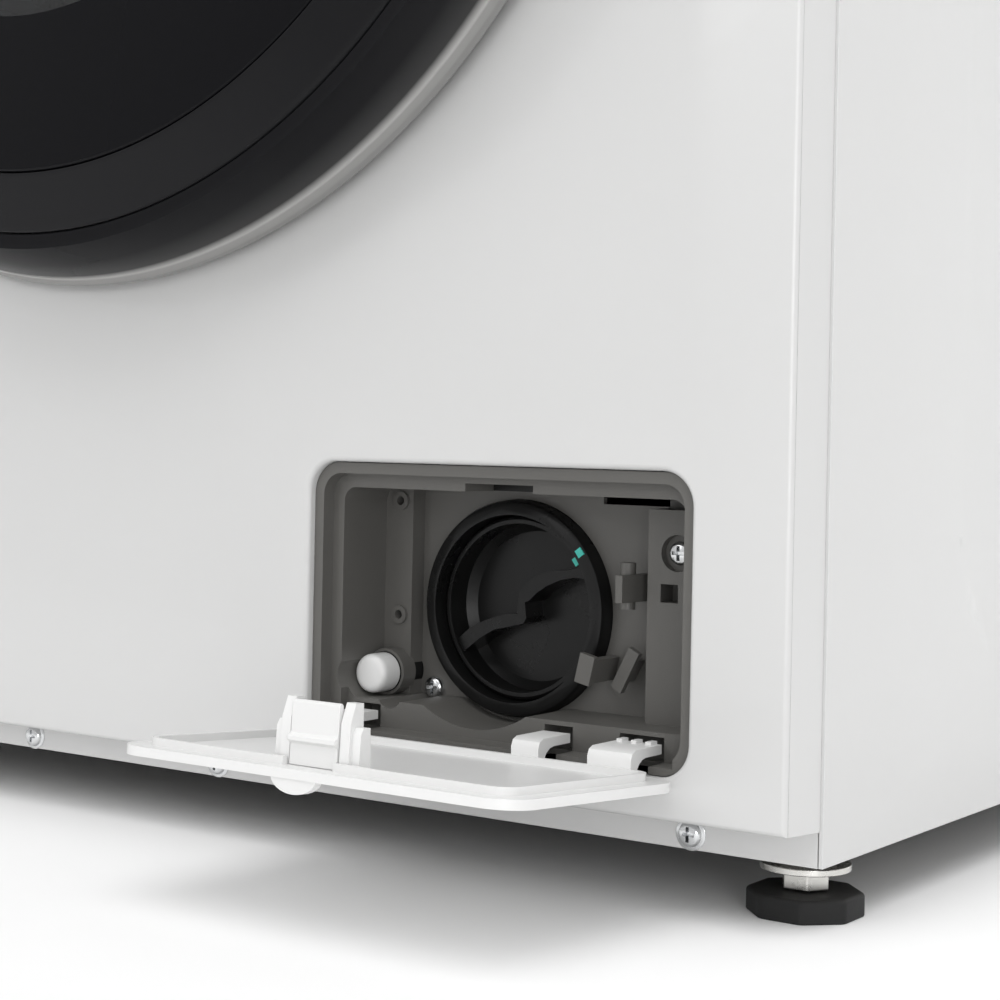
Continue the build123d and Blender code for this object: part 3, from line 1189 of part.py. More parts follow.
def drain_pump():
    """The pump: mouth ring, filter chamber, volute, motor can, spouts and feet."""
    outer = CAP_BORE + CHAMBER_WALL
    bore = BASKET_RADIUS + 3
    back = CHAMBER_BACK
    lip = MOUTH_FRONT - MOUTH_LIP
    chamber = turned(
        [(CAP_BORE, lip), (MOUTH_RADIUS - 2.2, lip), (MOUTH_RADIUS - 0.7, lip + 0.7), (MOUTH_RADIUS, lip + 2.2),
         (MOUTH_RADIUS, POCKET_BACK + 10), (outer, POCKET_BACK + 10), (outer, back + 26),
         (PUMP_MOTOR_RADIUS, back + 26), (PUMP_MOTOR_RADIUS, back + 26 + PUMP_MOTOR_LENGTH),
         (0, back + 26 + PUMP_MOTOR_LENGTH), (0, back + 22), (IMPELLER_RADIUS + 3, back + 22),
         (IMPELLER_RADIUS + 3, back + 3), (12, back + 3), (12, back), (bore, back), (bore, MOUTH_FRONT + 30),
         (CAP_BORE, MOUTH_FRONT + 30)], FILTER_X, FILTER_Z,
    )
    clear = rod_y(bore + 1, FILTER_X, FILTER_Z, MOUTH_FRONT, back - 1)
    intake = rod_x(SUMP_RADIUS, SUMP_Y, INTAKE_Z, INTAKE_X, FILTER_X - 10) - clear
    pump = chamber + intake
    pump = pump - rod_x(SUMP_RADIUS - SUMP_WALL, SUMP_Y, INTAKE_Z, INTAKE_X - 1, FILTER_X - 10)
    inside = rod_y(IMPELLER_RADIUS + 4, FILTER_X, FILTER_Z, back + 1, back + 24)
    port = rod_z(HOSE_BORE - FIT, OUTLET_PORT_X, PUMP_VOLUTE_Y, FILTER_Z, OUTLET_PORT_Z) - inside
    pump = pump + port
    pump = pump - rod_z(HOSE_BORE - 3, OUTLET_PORT_X, PUMP_VOLUTE_Y, FILTER_Z + 10, OUTLET_PORT_Z + 1)
    solid_core = rod_y(outer - 1, FILTER_X, FILTER_Z, POCKET_BACK + 10, back + 25)
    for y in (POCKET_BACK + 24, back + 16):
        leg = block(FILTER_X - 14, FILTER_X + 14, y - 5, y + 5, PAN_FLOOR, FILTER_Z)
        pump = pump + (leg - solid_core)
    return pump + rod_y(4, FILTER_X, FILTER_Z, back + 16, back + 23)


WING_DISH = 29.4
UPPER_WING = (
    (26.4, 15.9), (19.6, 14.2), (13.2, 13.6), (8.3, 12.3), (4.7, 10.7), (1.8, 8.4), (-0.6, 5.4), (-1.2, 2.8),
    (0.5, 1.5), (3.4, 2.7), (6.6, 5.6), (10.5, 8.1), (16.0, 10.5), (21.7, 11.7), (27.8, 11.5),
)
LOWER_WING = (
    (-27.4, -13.1), (-22.0, -8.6), (-15.6, -5.5), (-9.2, -3.3), (-4.9, -2.4), (0.8, -2.0), (2.4, -3.4),
    (1.2, -5.4), (-4.8, -6.9), (-11.2, -8.4), (-17.6, -11.9), (-24.9, -17.6),
)
WING_HUB = ((-1.0, 3.6), (1.6, 2.0), (2.3, -3.2), (-1.8, -3.6))


def filter_cap():
    """The screw-in filter: dished cap, two curved grip wings, seal groove and slotted basket."""
    front = CAP_FRONT
    floor = front + CAP_DISH
    shoulder = MOUTH_FRONT + 20
    groove = CAP_RADIUS - SEAL_SECTION
    body = turned(
        [(0, floor), (CAP_RADIUS - CAP_RIM - 3, floor), (CAP_RADIUS - CAP_RIM, floor - 3),
         (CAP_RADIUS - CAP_RIM, front), (CAP_RADIUS - 1, front), (CAP_RADIUS, front + 1),
         (CAP_RADIUS, shoulder), (groove, shoulder), (groove, shoulder + 5), (BASKET_RADIUS + 2, shoulder + 5),
         (BASKET_RADIUS + 2, shoulder + 8), (BASKET_RADIUS, shoulder + 8), (BASKET_RADIUS, BASKET_BACK),
         (BASKET_RADIUS - 2, BASKET_BACK), (BASKET_RADIUS - 2, shoulder + 6), (0, shoulder + 6)], 0, 0,
    )
    scale = (CAP_RADIUS - CAP_RIM) / WING_DISH
    cap = body
    for outline in (UPPER_WING, LOWER_WING, WING_HUB):
        corners = [(x * scale, z * scale) for x, z in outline]
        cap = cap + prism_y(corners, front + WING_DROP, floor + 1)
    for index in range(4):
        slot = slab(2 * BASKET_RADIUS + 4, 9, 4, 0, 0, shoulder + 16, BASKET_BACK - 12)
        cap = cap - slot.rotate(Axis.Y, 45 * index)
    return Pos(FILTER_X, 0, FILTER_Z) * cap


def filter_seal():
    """The ring seal in the cap's groove."""
    inner = CAP_RADIUS - SEAL_SECTION + RUNNING
    start = MOUTH_FRONT + 20 + RUNNING
    return turned(
        [(inner, start), (CAP_RADIUS + 0.4, start + 0.8), (CAP_RADIUS + 0.4, start + 4), (inner, start + 4.8)],
        FILTER_X, FILTER_Z,
    )


def pump_impeller():
    """The bladed rotor behind the filter."""
    back = CHAMBER_BACK
    rotor = rod_y(8, 0, 0, back + 5, back + 18)
    for index in range(IMPELLER_BLADES):
        blade = block(4, IMPELLER_RADIUS, back + 5, back + 16, -1, 1)
        rotor = rotor + blade.rotate(Axis.Y, 360 * index / IMPELLER_BLADES)
    rotor = rotor - rod_y(4 + RUNNING, 0, 0, back + 8, back + 19)
    return Pos(FILTER_X, 0, FILTER_Z) * rotor


def drain_plug():
    """The round-ended plug of the emergency drain."""
    back = POCKET_BACK + 10
    plug = rod_y(PLUG_RADIUS, PLUG_X, PLUG_Z, POST_FRONT - PLUG_REACH, back)
    front = plug.faces().sort_by(Axis.Y)[0]
    return fillet(front.edges(), PLUG_RADIUS * 0.4)


def recess_housing():
    """The moulded recess behind the flap, with its clips, slots, holes and hinge lips."""
    rim = slab(
        OPENING_WIDTH - 2 * FIT, OPENING_HEIGHT - 2 * FIT, OPENING_ROUND - FIT, OPENING_X, OPENING_Z,
        RIM_FRONT, RIM_FRONT + RIM_STEP + HOUSING_WALL,
    )
    step_width = OPENING_WIDTH - 2 * FIT - 2 * RIM_BAND
    step = slab(
        step_width, OPENING_HEIGHT - 2 * FIT - 2 * RIM_BAND, OPENING_ROUND - RIM_BAND + FIT,
        OPENING_X, OPENING_Z, RIM_FRONT - 1, RIM_FRONT + RIM_STEP,
    )
    shelf = RIM_FRONT + RIM_STEP
    foot_z = OPENING_BOTTOM + FIT
    tall = POCKET_TOP + HOUSING_WALL - foot_z
    tub = slab(
        POCKET_WIDTH + 2 * HOUSING_WALL, tall, 7, POCKET_X, foot_z + tall / 2,
        shelf, POCKET_BACK + HOUSING_WALL,
    )
    hollow = slab(
        POCKET_WIDTH, POCKET_TOP - POCKET_FLOOR, 5, POCKET_X, (POCKET_TOP + POCKET_FLOOR) / 2,
        RIM_FRONT, POCKET_BACK,
    )
    sill = block(POCKET_LEFT, POCKET_RIGHT, RIM_FRONT - 1, APRON_Y, foot_z + 2.4, POCKET_TOP - 10)
    housing = rim - step + tub - hollow - sill
    post = block(POCKET_LEFT - 1, POCKET_LEFT + POST_WIDTH, POST_FRONT, POCKET_BACK + 1,
                 POCKET_FLOOR - 1, POCKET_TOP + 1)
    pad = block(PAD_LEFT, POCKET_RIGHT + 1, PAD_FRONT, POCKET_BACK + 1, POCKET_FLOOR - 1, POCKET_TOP - 4)
    housing = housing + post + pad
    for z in (FILTER_Z - 5, POCKET_TOP - 5):
        housing = housing + rod_y(3.3, POCKET_LEFT + 7, z, POST_FRONT - 1.2, POST_FRONT + 1)
        housing = housing - rod_y(1.6, POCKET_LEFT + 7, z, POST_FRONT - 2, POCKET_BACK - 1)
    housing = housing + rod_y(PLUG_RADIUS + 1.4, PLUG_X, PLUG_Z, POST_FRONT - PLUG_BOSS, POST_FRONT + 1)
    plug_hole = rod_y(PLUG_RADIUS + FIT, PLUG_X, PLUG_Z, RIM_FRONT - 1, POCKET_BACK + 9)
    housing = housing - plug_hole
    first, second = RECESS_SCREWS
    channel = rod_y(SCREW_HEAD_RADIUS + 1.2, first[0], first[1], APRON_Y - 1, first[2])
    well = rod_y(SCREW_HEAD_RADIUS + 2, second[0], second[1], PAD_FRONT - 1, second[2])
    housing = housing - channel - well
    for x, z, y in RECESS_SCREWS:
        housing = housing - rod_y(SCREW_SHANK_RADIUS + RUNNING, x, z, y - 1, y + 12)
    housing = housing - rod_y(MOUTH_RADIUS + 2, FILTER_X, FILTER_Z, APRON_Y - 1, POCKET_BACK)
    housing = housing - rod_y(MOUTH_RADIUS + FIT, FILTER_X, FILTER_Z, POCKET_BACK - 1, POCKET_BACK + 9)
    catch_slot = block(
        LATCH_X - 13.8, LATCH_X + 13.8, RIM_FRONT - 1, LATCH_DEPTH - 10, POCKET_TOP - 1, POCKET_TOP + 2.7
    )
    roof = block(
        LATCH_X - 16, LATCH_X + 16, shelf, LATCH_DEPTH - 7, POCKET_TOP + 1, POCKET_TOP + 4.7
    )
    housing = housing + roof - catch_slot
    swept_top = PIVOT_Z + HOOK_OUTER + ARM_NUB + 2 * FIT
    for x, width, nubs in HOOK_ARMS:
        left, right = x - width / 2 - FIT, x + width / 2 + FIT
        sweep = rod_x(ARM_SWEEP, PIVOT_Y, PIVOT_Z, left, right)
        sweep = sweep & block(left, right, PIVOT_Y - 20, PIVOT_Y + 20, PIVOT_Z - 20, swept_top)
        slot = block(left, right, PIVOT_Y, APRON_Y + 9, OPENING_BOTTOM + 2, POCKET_FLOOR - 1.5)
        housing = housing - sweep - slot
    pad_slot = block(
        PAD_LEFT + 5, PAD_LEFT + 11.5, PAD_FRONT - 1, PAD_FRONT + 8, UPPER_CLIP_Z - 4, UPPER_CLIP_Z + 2
    )
    back_slot = block(
        PAD_LEFT - 25, PAD_LEFT + 1, POCKET_BACK - 1, POCKET_BACK + HOUSING_WALL + 1,
        POCKET_TOP - 3.5, POCKET_TOP - 0.8,
    )
    housing = housing - pad_slot - back_slot
    return housing + upper_clip() + lower_clip()


def upper_clip():
    """The upper hose clip: a sprung wall off the back of the recess, with a rounded upright."""
    x, z = SERVICE_X + UPPER_CLIP_OFFSET, UPPER_CLIP_Z
    root = POCKET_BACK + 1
    corners = [(x - 1.3, CLIP_FRONT), (x + 1.3, CLIP_FRONT), (x + 2.7, root), (x, root)]
    outline = make_face(Polyline(*[(u, v, z - 4.6) for u, v in corners], close=True))
    wall = extrude(outline, amount=9.0, dir=(0, 0, 1))
    return wall + rod_z(2.6, x - 2, CLIP_FRONT + 9, z - 7.2, z + 8.2)


def lower_clip():
    """The lower hose clip: two leaning prongs off the back of the recess."""
    x, z = SERVICE_X + LOWER_CLIP_OFFSET, LOWER_CLIP_Z
    front = CLIP_FRONT + 3
    root = POCKET_BACK + 1
    near = block(-3.4, 2.4, front, front + 2.4, -5, 5) + block(0, 2.4, front, root, -4, 4)
    far = block(-2.2, 2.2, root - 9, root - 6.6, -7.6, 7.6) + block(-1.2, 1.2, root - 8, root, -4, 4)
    return Pos(x, 0, z) * near.rotate(Axis.Y, 13) + Pos(x + 10.2, 0, z) * far.rotate(Axis.Y, 27)


def opened(shape):
    """A flap piece turned from its closed place to the open one."""
    return shape.rotate(Axis((0, PIVOT_Y, PIVOT_Z), (1, 0, 0)), FLAP_ANGLE)


def flap_panel():
    """The service flap: plate, stiffening rib, hook arms, latch brackets and thumb lip."""
    height = FLAP_TOP - FLAP_BOTTOM
    middle = (FLAP_TOP + FLAP_BOTTOM) / 2
    width = OPENING_WIDTH - 2 * FLAP_GAP
    plate = slab(width, height, OPENING_ROUND, OPENING_X, middle, FRONT_Y, FLAP_INNER)
    inset = 2 * FLAP_RIB_INSET
    rib = slab(
        width - inset, height - inset, OPENING_ROUND - 4, OPENING_X, middle, FLAP_INNER - 1, FLAP_INNER + FLAP_RIB
    )
    hollow = slab(
        width - inset - 4, height - inset - 4, OPENING_ROUND - 6, OPENING_X, middle,
        FLAP_INNER, FLAP_INNER + FLAP_RIB + 1,
    )
    gap = LATCH_WIDTH / 2 + LATCH_GAP
    latch_gap = block(
        LATCH_X - gap, LATCH_X + gap, FLAP_INNER, FLAP_INNER + FLAP_RIB + 1, middle, FLAP_TOP
    )
    flap = plate + (rib - hollow - latch_gap)
    foot_z = FLAP_TOP - LATCH_DROP - 4
    tall = FLAP_INNER + BRACKET_HEIGHT
    step = FLAP_INNER + BRACKET_STEP
    for side in (-1, 1):
        inner = LATCH_X + side * (LATCH_WIDTH / 2 + LATCH_GAP)
        flap = flap + prism_x(
            [(FLAP_INNER - 1, foot_z - 1.5), (tall, foot_z), (tall, foot_z + 3.5), (step + 1, foot_z + 5.5),
             (FLAP_INNER - 1, foot_z + 5.5)],
            *sorted((inner, inner + side * 3.6)),
        )
        flap = flap + prism_x(
            [(FLAP_INNER - 1, foot_z - 1.5), (step, foot_z), (step, foot_z + 3), (step - 2, foot_z + 4.2),
             (FLAP_INNER - 1, foot_z + 4.2)],
            *sorted((inner + side * 3, inner + side * 6.6)),
        )
    lip = rod_z(LIP_RADIUS, LATCH_X, FRONT_Y + 1.5, FLAP_TOP - 3.4, FLAP_TOP - 0.4)
    lip = lip & block(
        LATCH_X - LIP_RADIUS, LATCH_X + LIP_RADIUS, FRONT_Y - LIP_RADIUS, FRONT_Y + 1, FLAP_TOP - 4, FLAP_TOP
    )
    flap = opened(flap + lip)
    for x, arm_width, nubs in HOOK_ARMS:
        flap = flap + hook_arm(x, arm_width, nubs)
    return flap


def hook_arm(x, width, nubs):
    """An arm that slides round the lower edge of the opening, drawn with the flap open."""
    left, right = x - width / 2, x + width / 2
    outer, inner = HOOK_OUTER, HOOK_INNER
    profile = [
        (-outer, -0.6), (-outer, outer - 3), (-outer + 0.9, outer - 0.9), (-outer + 3, outer),
        (ARM_REACH, outer), (ARM_REACH, inner), (0, inner),
    ]
    for degrees in (112, 135, 158, 180):
        angle = math.radians(degrees)
        profile.append((inner * math.cos(angle), inner * math.sin(angle)))
    profile.append((-inner, -0.6))
    arm = prism_x([(PIVOT_Y + y, PIVOT_Z + z) for y, z in profile], left, right)
    top = PIVOT_Z + outer
    for index in range(nubs):
        middle = left + width * (index + 0.5) / nubs
        arm = arm + block(
            middle - 1, middle + 1, PIVOT_Y + ARM_REACH - 4, PIVOT_Y + ARM_REACH, top - 1, top + ARM_NUB
        )
    return arm


def flap_latch():
    """The sprung tongue of the flap's catch, with the ridge that snaps home."""
    top = FLAP_TOP - LATCH_DROP + 2
    left, right = LATCH_X - LATCH_WIDTH / 2, LATCH_X + LATCH_WIDTH / 2
    root = FLAP_INNER + FIT / 3
    tip = root + LATCH_DEPTH
    ridge = root + LATCH_DEPTH / 3
    tongue = prism_x(
        [(root, top - 7), (root + 2, top - 7), (root + 2, top - 2), (tip - 0.7, top - 2), (tip, top - 1.3),
         (tip, top - 0.7), (tip - 0.7, top), (ridge + 3, top), (ridge + 2.2, top + LATCH_RIDGE),
         (ridge + 0.8, top + LATCH_RIDGE), (ridge, top), (root, top)],
        left, right,
    )
    return opened(tongue)


# Controls and drawer


def control_fascia():
    """The moulded control strip with its drawer, lens, knob and button openings."""
    form = block(-HALF, HALF, FRONT_Y, 0, FASCIA_BOTTOM, SIDE_TOP)
    form = fillet(form.faces().sort_by(Axis.Y)[0].edges(), FRONT_ROUND)
    wall = FASCIA_WALL
    hollow = block(wall - HALF, HALF - wall, FRONT_Y + wall, 1, FASCIA_BOTTOM + wall, SIDE_TOP - wall)
    hollow = fillet(hollow.faces().sort_by(Axis.Y)[0].edges(), FRONT_ROUND - wall)
    fascia = form - hollow
    surround = slab(
        DRAWER_WIDTH + 2 * wall, DRAWER_HEIGHT + 2 * wall, 8, DRAWER_X, DRAWER_Z, FRONT_Y + 1, 0
    )
    fascia = fascia + surround
    fascia = fascia - slab(DRAWER_WIDTH, DRAWER_HEIGHT, 6, DRAWER_X, DRAWER_Z, FRONT_Y - 1, 1)
    fascia = fascia - slab(LENS_WIDTH, LENS_HEIGHT, 5, LENS_X, LENS_Z, FRONT_Y - 1, FRONT_Y + wall + 1)
    boss = rod_y(SPINDLE_RADIUS + 4, KNOB_X, FASCIA_Z, FRONT_Y + 1, 0)
    fascia = fascia + boss - rod_y(SPINDLE_RADIUS + RUNNING, KNOB_X, FASCIA_Z, FRONT_Y - 1, 1)
    for x, radius in ((START_X, START_RADIUS), (POWER_X, POWER_RADIUS)):
        fascia = fascia - rod_y(radius + FIT, x, FASCIA_Z, FRONT_Y - 1, FRONT_Y + wall + 1)
    option = slab(
        OPTION_WIDTH + 2 * FIT, OPTION_HEIGHT + 2 * FIT, 4, LENS_X, OPTION_Z, FRONT_Y - 1, FRONT_Y + wall + 1
    )
    return fascia - option


LENS_Z = FASCIA_Z + 12.0
OPTION_Z = FASCIA_Z - 28.0


def display_lens():
    """The tinted lens of the display, flush in the fascia, on a flange behind it."""
    face = slab(
        LENS_WIDTH - 2 * FIT, LENS_HEIGHT - 2 * FIT, 5 - FIT, LENS_X, LENS_Z, FRONT_Y, FRONT_Y + FASCIA_WALL + FIT
    )
    back = FRONT_Y + FASCIA_WALL + FIT
    return face + slab(LENS_WIDTH + 6, LENS_HEIGHT + 6, 5, LENS_X, LENS_Z, back, back + 2)


def program_knob():
    """The programme knob: fluted grip, skirt and spindle."""
    back = FRONT_Y - FIT
    front = back - KNOB_DEPTH
    knob = turned(
        [(0, front), (KNOB_RADIUS - 4, front), (KNOB_RADIUS - 2, front + 2), (KNOB_RADIUS - 1, back - 5),
         (KNOB_RADIUS + 3, back - 3), (KNOB_RADIUS + 3, back), (SPINDLE_RADIUS, back), (SPINDLE_RADIUS, 4), (0, 4)],
        0, 0,
    )
    for index in range(18):
        flute = rod_y(1.6, KNOB_RADIUS - 0.6, 0, front - 1, back - 6)
        knob = knob - flute.rotate(Axis.Y, 20 * index)
    return Pos(KNOB_X, 0, FASCIA_Z) * knob


def round_button(x, radius):
    """A round push button with its stop flange."""
    stop = FRONT_Y + FASCIA_WALL + FIT
    cap = rod_y(radius, x, FASCIA_Z, FRONT_Y - BUTTON_PROUD, stop)
    front = cap.faces().sort_by(Axis.Y)[0]
    cap = fillet(front.edges(), 1.0)
    return cap + rod_y(radius + 2, x, FASCIA_Z, stop, stop + 2)


def option_button():
    """The long option button under the display."""
    stop = FRONT_Y + FASCIA_WALL + FIT
    cap = slab(OPTION_WIDTH, OPTION_HEIGHT, 4 - FIT, LENS_X, OPTION_Z, FRONT_Y - BUTTON_PROUD, stop)
    front = cap.faces().sort_by(Axis.Y)[0]
    cap = fillet(front.edges(), 0.8)
    return cap + slab(OPTION_WIDTH + 4, OPTION_HEIGHT + 4, 4, LENS_X, OPTION_Z, stop, stop + 2)


def drawer_housing():
    """The box behind the fascia that the drawer runs in, with the outlet to the tub."""
    left, right = DRAWER_LEFT, DRAWER_LEFT + DRAWER_WIDTH
    low, high = DRAWER_BOTTOM, DRAWER_BOTTOM + DRAWER_HEIGHT
    wall = DRAWER_WALL
    box = block(left - wall, right + wall, 0, HOUSING_DEPTH, low - wall, high + wall)
    box = box - block(left, right, -1, HOUSING_DEPTH - wall, low, high)
    for index in range(4):
        y = 40 + 60 * index
        box = box + block(left - wall, right + wall, y, y + 3, high + wall, high + wall + 5)
    spout = rod_z(SUMP_RADIUS, DISPENSER_X, DISPENSER_Y, low - wall - 20, low - wall)
    box = box + spout
    return box - rod_z(SUMP_RADIUS - SUMP_WALL, DISPENSER_X, DISPENSER_Y, low - wall - 21, low + 1)


def drawer_tray():
    """The three-part detergent tray."""
    left, right = DRAWER_LEFT + 3, DRAWER_LEFT + DRAWER_WIDTH - 3
    low, high = DRAWER_FLOOR, DRAWER_BOTTOM + DRAWER_HEIGHT - 14
    wall = DRAWER_WALL
    tray = block(left, right, 0, DRAWER_DEPTH, low, high)
    tray = fillet(tray.edges().filter_by(Axis.Z).group_by(Axis.Y)[-1], 12)
    inner = right - left - 4 * wall
    shares = (0.42, 0.30, 0.28)
    x = left + wall
    for share in shares:
        width = inner * share
        pocket = block(x, x + width, wall, DRAWER_DEPTH - 12, low + wall, high + 1)
        tray = tray - fillet(pocket.edges().filter_by(Axis.Z), 5)
        x = x + width + wall
    return tray


def drawer_front():
    """The drawer's front with its finger scoop."""
    clear = 2 * FIT
    face = slab(DRAWER_WIDTH - 2 * clear, DRAWER_HEIGHT - 2 * clear, 6, DRAWER_X, DRAWER_Z, FRONT_Y, 0)
    face = fillet(face.faces().sort_by(Axis.Y)[0].edges(), 1.5)
    scoop = slab(110, 22, 10, DRAWER_X, DRAWER_BOTTOM + 20, FRONT_Y - 1, FRONT_Y + 11)
    undercut = block(DRAWER_X - 50, DRAWER_X + 50, FRONT_Y + 4, FRONT_Y + 11, DRAWER_BOTTOM + 22, DRAWER_BOTTOM + 44)
    return face - scoop - undercut


def all_pieces():
    """Every node of the machine, by name."""
    right_side = side_panel()
    pieces = {
        "base_pan": base_pan(),
        "side_panel_right": right_side,
        "side_panel_left": mirrored(right_side),
        "front_panel": front_panel(),
        "kick_rail": kick_rail(),
        "top_cover": top_cover(),
        "spring_brace": spring_brace(),
        "rear_panel": rear_panel(),
        "rear_service_cover": rear_service_cover(),
        "inlet_valve": inlet_valve(),
        "cable_gland": cable_gland(),
        "transit_plugs": transit_plugs(),
        "casing_screws": casing_screws(),
        "foot_lock_nuts": foot_lock_nuts(),
        "foot_front_left": foot(-FOOT_X, FOOT_YS[0]),
        "foot_front_right": foot(FOOT_X, FOOT_YS[0]),
        "foot_rear_left": foot(-FOOT_X, FOOT_YS[1]),
        "foot_rear_right": foot(FOOT_X, FOOT_YS[1]),
        "door_ring": door_ring(),
        "door_window": door_window(),
        "door_bowl": door_bowl(),
        "door_frame": door_frame(),
        "door_hook": door_hook(),
        "door_lock": door_lock(),
        "hinge_bracket": hinge_bracket(),
        "door_hinge_arm": door_hinge_arm(),
        "door_boot": door_boot(),
        "tub_front": tub_front(),
        "tub_rear": tub_rear(),
        "counterweights": counterweights(),
        "drum_bearings": drum_bearings(),
        "drum_shell": drum_shell(),
        "drum_lifters": drum_lifters(),
        "drum_spider": drum_spider(),
        "drum_pulley": drum_pulley(),
        "drive_motor": drive_motor(),
        "motor_pulley": motor_pulley(),
        "drive_belt": drive_belt(),
        "damper_cylinders": damper_cylinders(),
        "damper_rods": damper_rods(),
        "suspension_springs": suspension_springs(),
        "tub_hoses": tub_hoses(),
        "outlet_hose": outlet_hose(),
        "drain_pump": drain_pump(),
        "filter_cap": filter_cap(),
        "filter_seal": filter_seal(),
        "pump_impeller": pump_impeller(),
        "drain_plug": drain_plug(),
        "recess_housing": recess_housing(),
        "flap_panel": flap_panel(),
        "flap_latch": flap_latch(),
        "control_fascia": control_fascia(),
        "display_lens": display_lens(),
        "program_knob": program_knob(),
        "start_button": round_button(START_X, START_RADIUS),
        "power_button": round_button(POWER_X, POWER_RADIUS),
        "option_button": option_button(),
        "drawer_housing": drawer_housing(),
        "drawer_tray": drawer_tray(),
        "drawer_front": drawer_front(),
    }
    return pieces


def main():
    """Build every piece, put the origin under the middle and write the files."""
    os.makedirs("parts", exist_ok=True)
    pieces = all_pieces()
    bounds = [piece.bounding_box() for piece in pieces.values()]
    front = min(box.min.Y for box in bounds)
    back = max(box.max.Y for box in bounds)
    shift = Pos(0, -(front + back) / 2, 0)
    for name, piece in pieces.items():
        export_step(shift * piece, "parts/" + name + ".step")


main()
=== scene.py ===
import json
import math

import bmesh
import bpy
from bpy.props import FloatProperty, FloatVectorProperty, IntProperty, PointerProperty
from mathutils import Matrix, Vector


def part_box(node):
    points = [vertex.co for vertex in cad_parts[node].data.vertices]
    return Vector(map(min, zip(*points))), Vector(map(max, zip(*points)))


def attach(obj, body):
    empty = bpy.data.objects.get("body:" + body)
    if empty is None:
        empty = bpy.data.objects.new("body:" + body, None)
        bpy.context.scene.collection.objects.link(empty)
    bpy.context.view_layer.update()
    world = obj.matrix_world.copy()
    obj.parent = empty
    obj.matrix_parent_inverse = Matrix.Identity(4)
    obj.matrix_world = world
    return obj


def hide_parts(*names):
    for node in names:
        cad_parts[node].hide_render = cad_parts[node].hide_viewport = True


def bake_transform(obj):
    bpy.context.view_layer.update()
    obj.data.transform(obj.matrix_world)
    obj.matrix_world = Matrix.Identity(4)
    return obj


bl_info = {
    "name": "Front load washing machine",
    "version": (1, 0, 0),
    "blender": (4, 5, 0),
    "location": "3D View > Sidebar > Washer",
    "description": "Dresses the washing machine's solids with finishes and fine detail",
    "category": "Object",
}

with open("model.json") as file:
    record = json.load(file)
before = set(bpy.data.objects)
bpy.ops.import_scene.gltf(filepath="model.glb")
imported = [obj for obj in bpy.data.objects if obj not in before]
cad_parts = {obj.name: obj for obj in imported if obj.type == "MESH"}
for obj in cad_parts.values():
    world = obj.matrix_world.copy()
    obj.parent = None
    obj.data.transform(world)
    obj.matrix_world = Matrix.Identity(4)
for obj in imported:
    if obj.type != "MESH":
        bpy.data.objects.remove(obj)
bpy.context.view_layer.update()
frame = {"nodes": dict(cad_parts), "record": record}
BODY_OF = {node: body for body, nodes in frame["record"]["behaviour"]["bodies"].items() for node in nodes}
SLOT_OF = {part["node"]: part["material_slot"] for part in frame["record"]["subparts"]}
PANEL_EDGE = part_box("side_panel_right")[0].y
# Places on the machine in millimetres, measured as at() takes them
DOOR_Z = 448.5
FILTER = (168.7, 89.2)
PLUG = (119.5, 64.0)
FLAP_PIVOT = (0.0, -13.5, 43.5)
CONTROL_Z = 777.5
INLETS = (-235.0, -185.0)
INLET_Z = 780.0
SPIGOT = (255.0, 700.0)
MOTOR = (-105.0, 122.0)
KICK_SCREWS = (-252.0, -50.0, 50.0, 252.0)
FASCIA_Y = -16.0


def at(x, y, z):
    """A point from millimetres: x from the middle, y from the side panels' front edge, z from the floor."""
    return Vector((x / 1000, PANEL_EDGE + y / 1000, z / 1000))


def washer():
    """The machine's settings in this scene."""
    return bpy.context.scene.washer


# Properties


class WasherFinish(bpy.types.PropertyGroup):
    """Colours of the main finishes."""

    enamel: FloatVectorProperty(
        name="Enamel", description="White stove enamel of the panels", subtype="COLOR",
        default=(0.61, 0.61, 0.607),
    )
    # Darker than the enamel: painted shade on the top, which the strong top light would otherwise burn out.
    worktop: FloatVectorProperty(
        name="Worktop", description="Matt laminate of the worktop", subtype="COLOR",
        default=(0.53, 0.53, 0.527),
    )
    plastic: FloatVectorProperty(
        name="White plastic", description="Flap, fascia and drawer", subtype="COLOR",
        default=(0.75, 0.75, 0.745),
    )
    housing: FloatVectorProperty(
        name="Recess grey", description="Moulded service recess", subtype="COLOR",
        default=(0.110, 0.107, 0.100),
    )
    cap: FloatVectorProperty(
        name="Cap black", description="Filter cap and mouth ring", subtype="COLOR",
        default=(0.008, 0.008, 0.008),
    )
    ring: FloatVectorProperty(
        name="Door ring", description="Titanium tone of the door's ring", subtype="COLOR",
        default=(0.27, 0.268, 0.262),
    )
    mark: FloatVectorProperty(
        name="Lock marks", description="Alignment marks of the filter cap", subtype="COLOR",
        default=(0.05, 0.50, 0.42),
    )


class WasherDetail(bpy.types.PropertyGroup):
    """Sizes of the fine detail."""

    edge: FloatProperty(
        name="Moulded edge", description="Edge round of moulded pieces", unit="LENGTH", default=0.0004
    )
    screw_head: FloatProperty(
        name="Screw head", description="Radius of a casing screw's head", unit="LENGTH", default=0.0040
    )
    thread_pitch: FloatProperty(
        name="Foot thread", description="Pitch of the levelling feet's thread", unit="LENGTH",
        default=0.00125,
    )
    hole_columns: IntProperty(
        name="Drum hole columns", description="Perforations round the drum", default=72, min=12, max=144
    )
    hole_rows: IntProperty(
        name="Drum hole rows", description="Perforations along the drum", default=14, min=4, max=40
    )
    dial_ticks: IntProperty(
        name="Dial ticks", description="Programme marks round the dial", default=16, min=4, max=32
    )


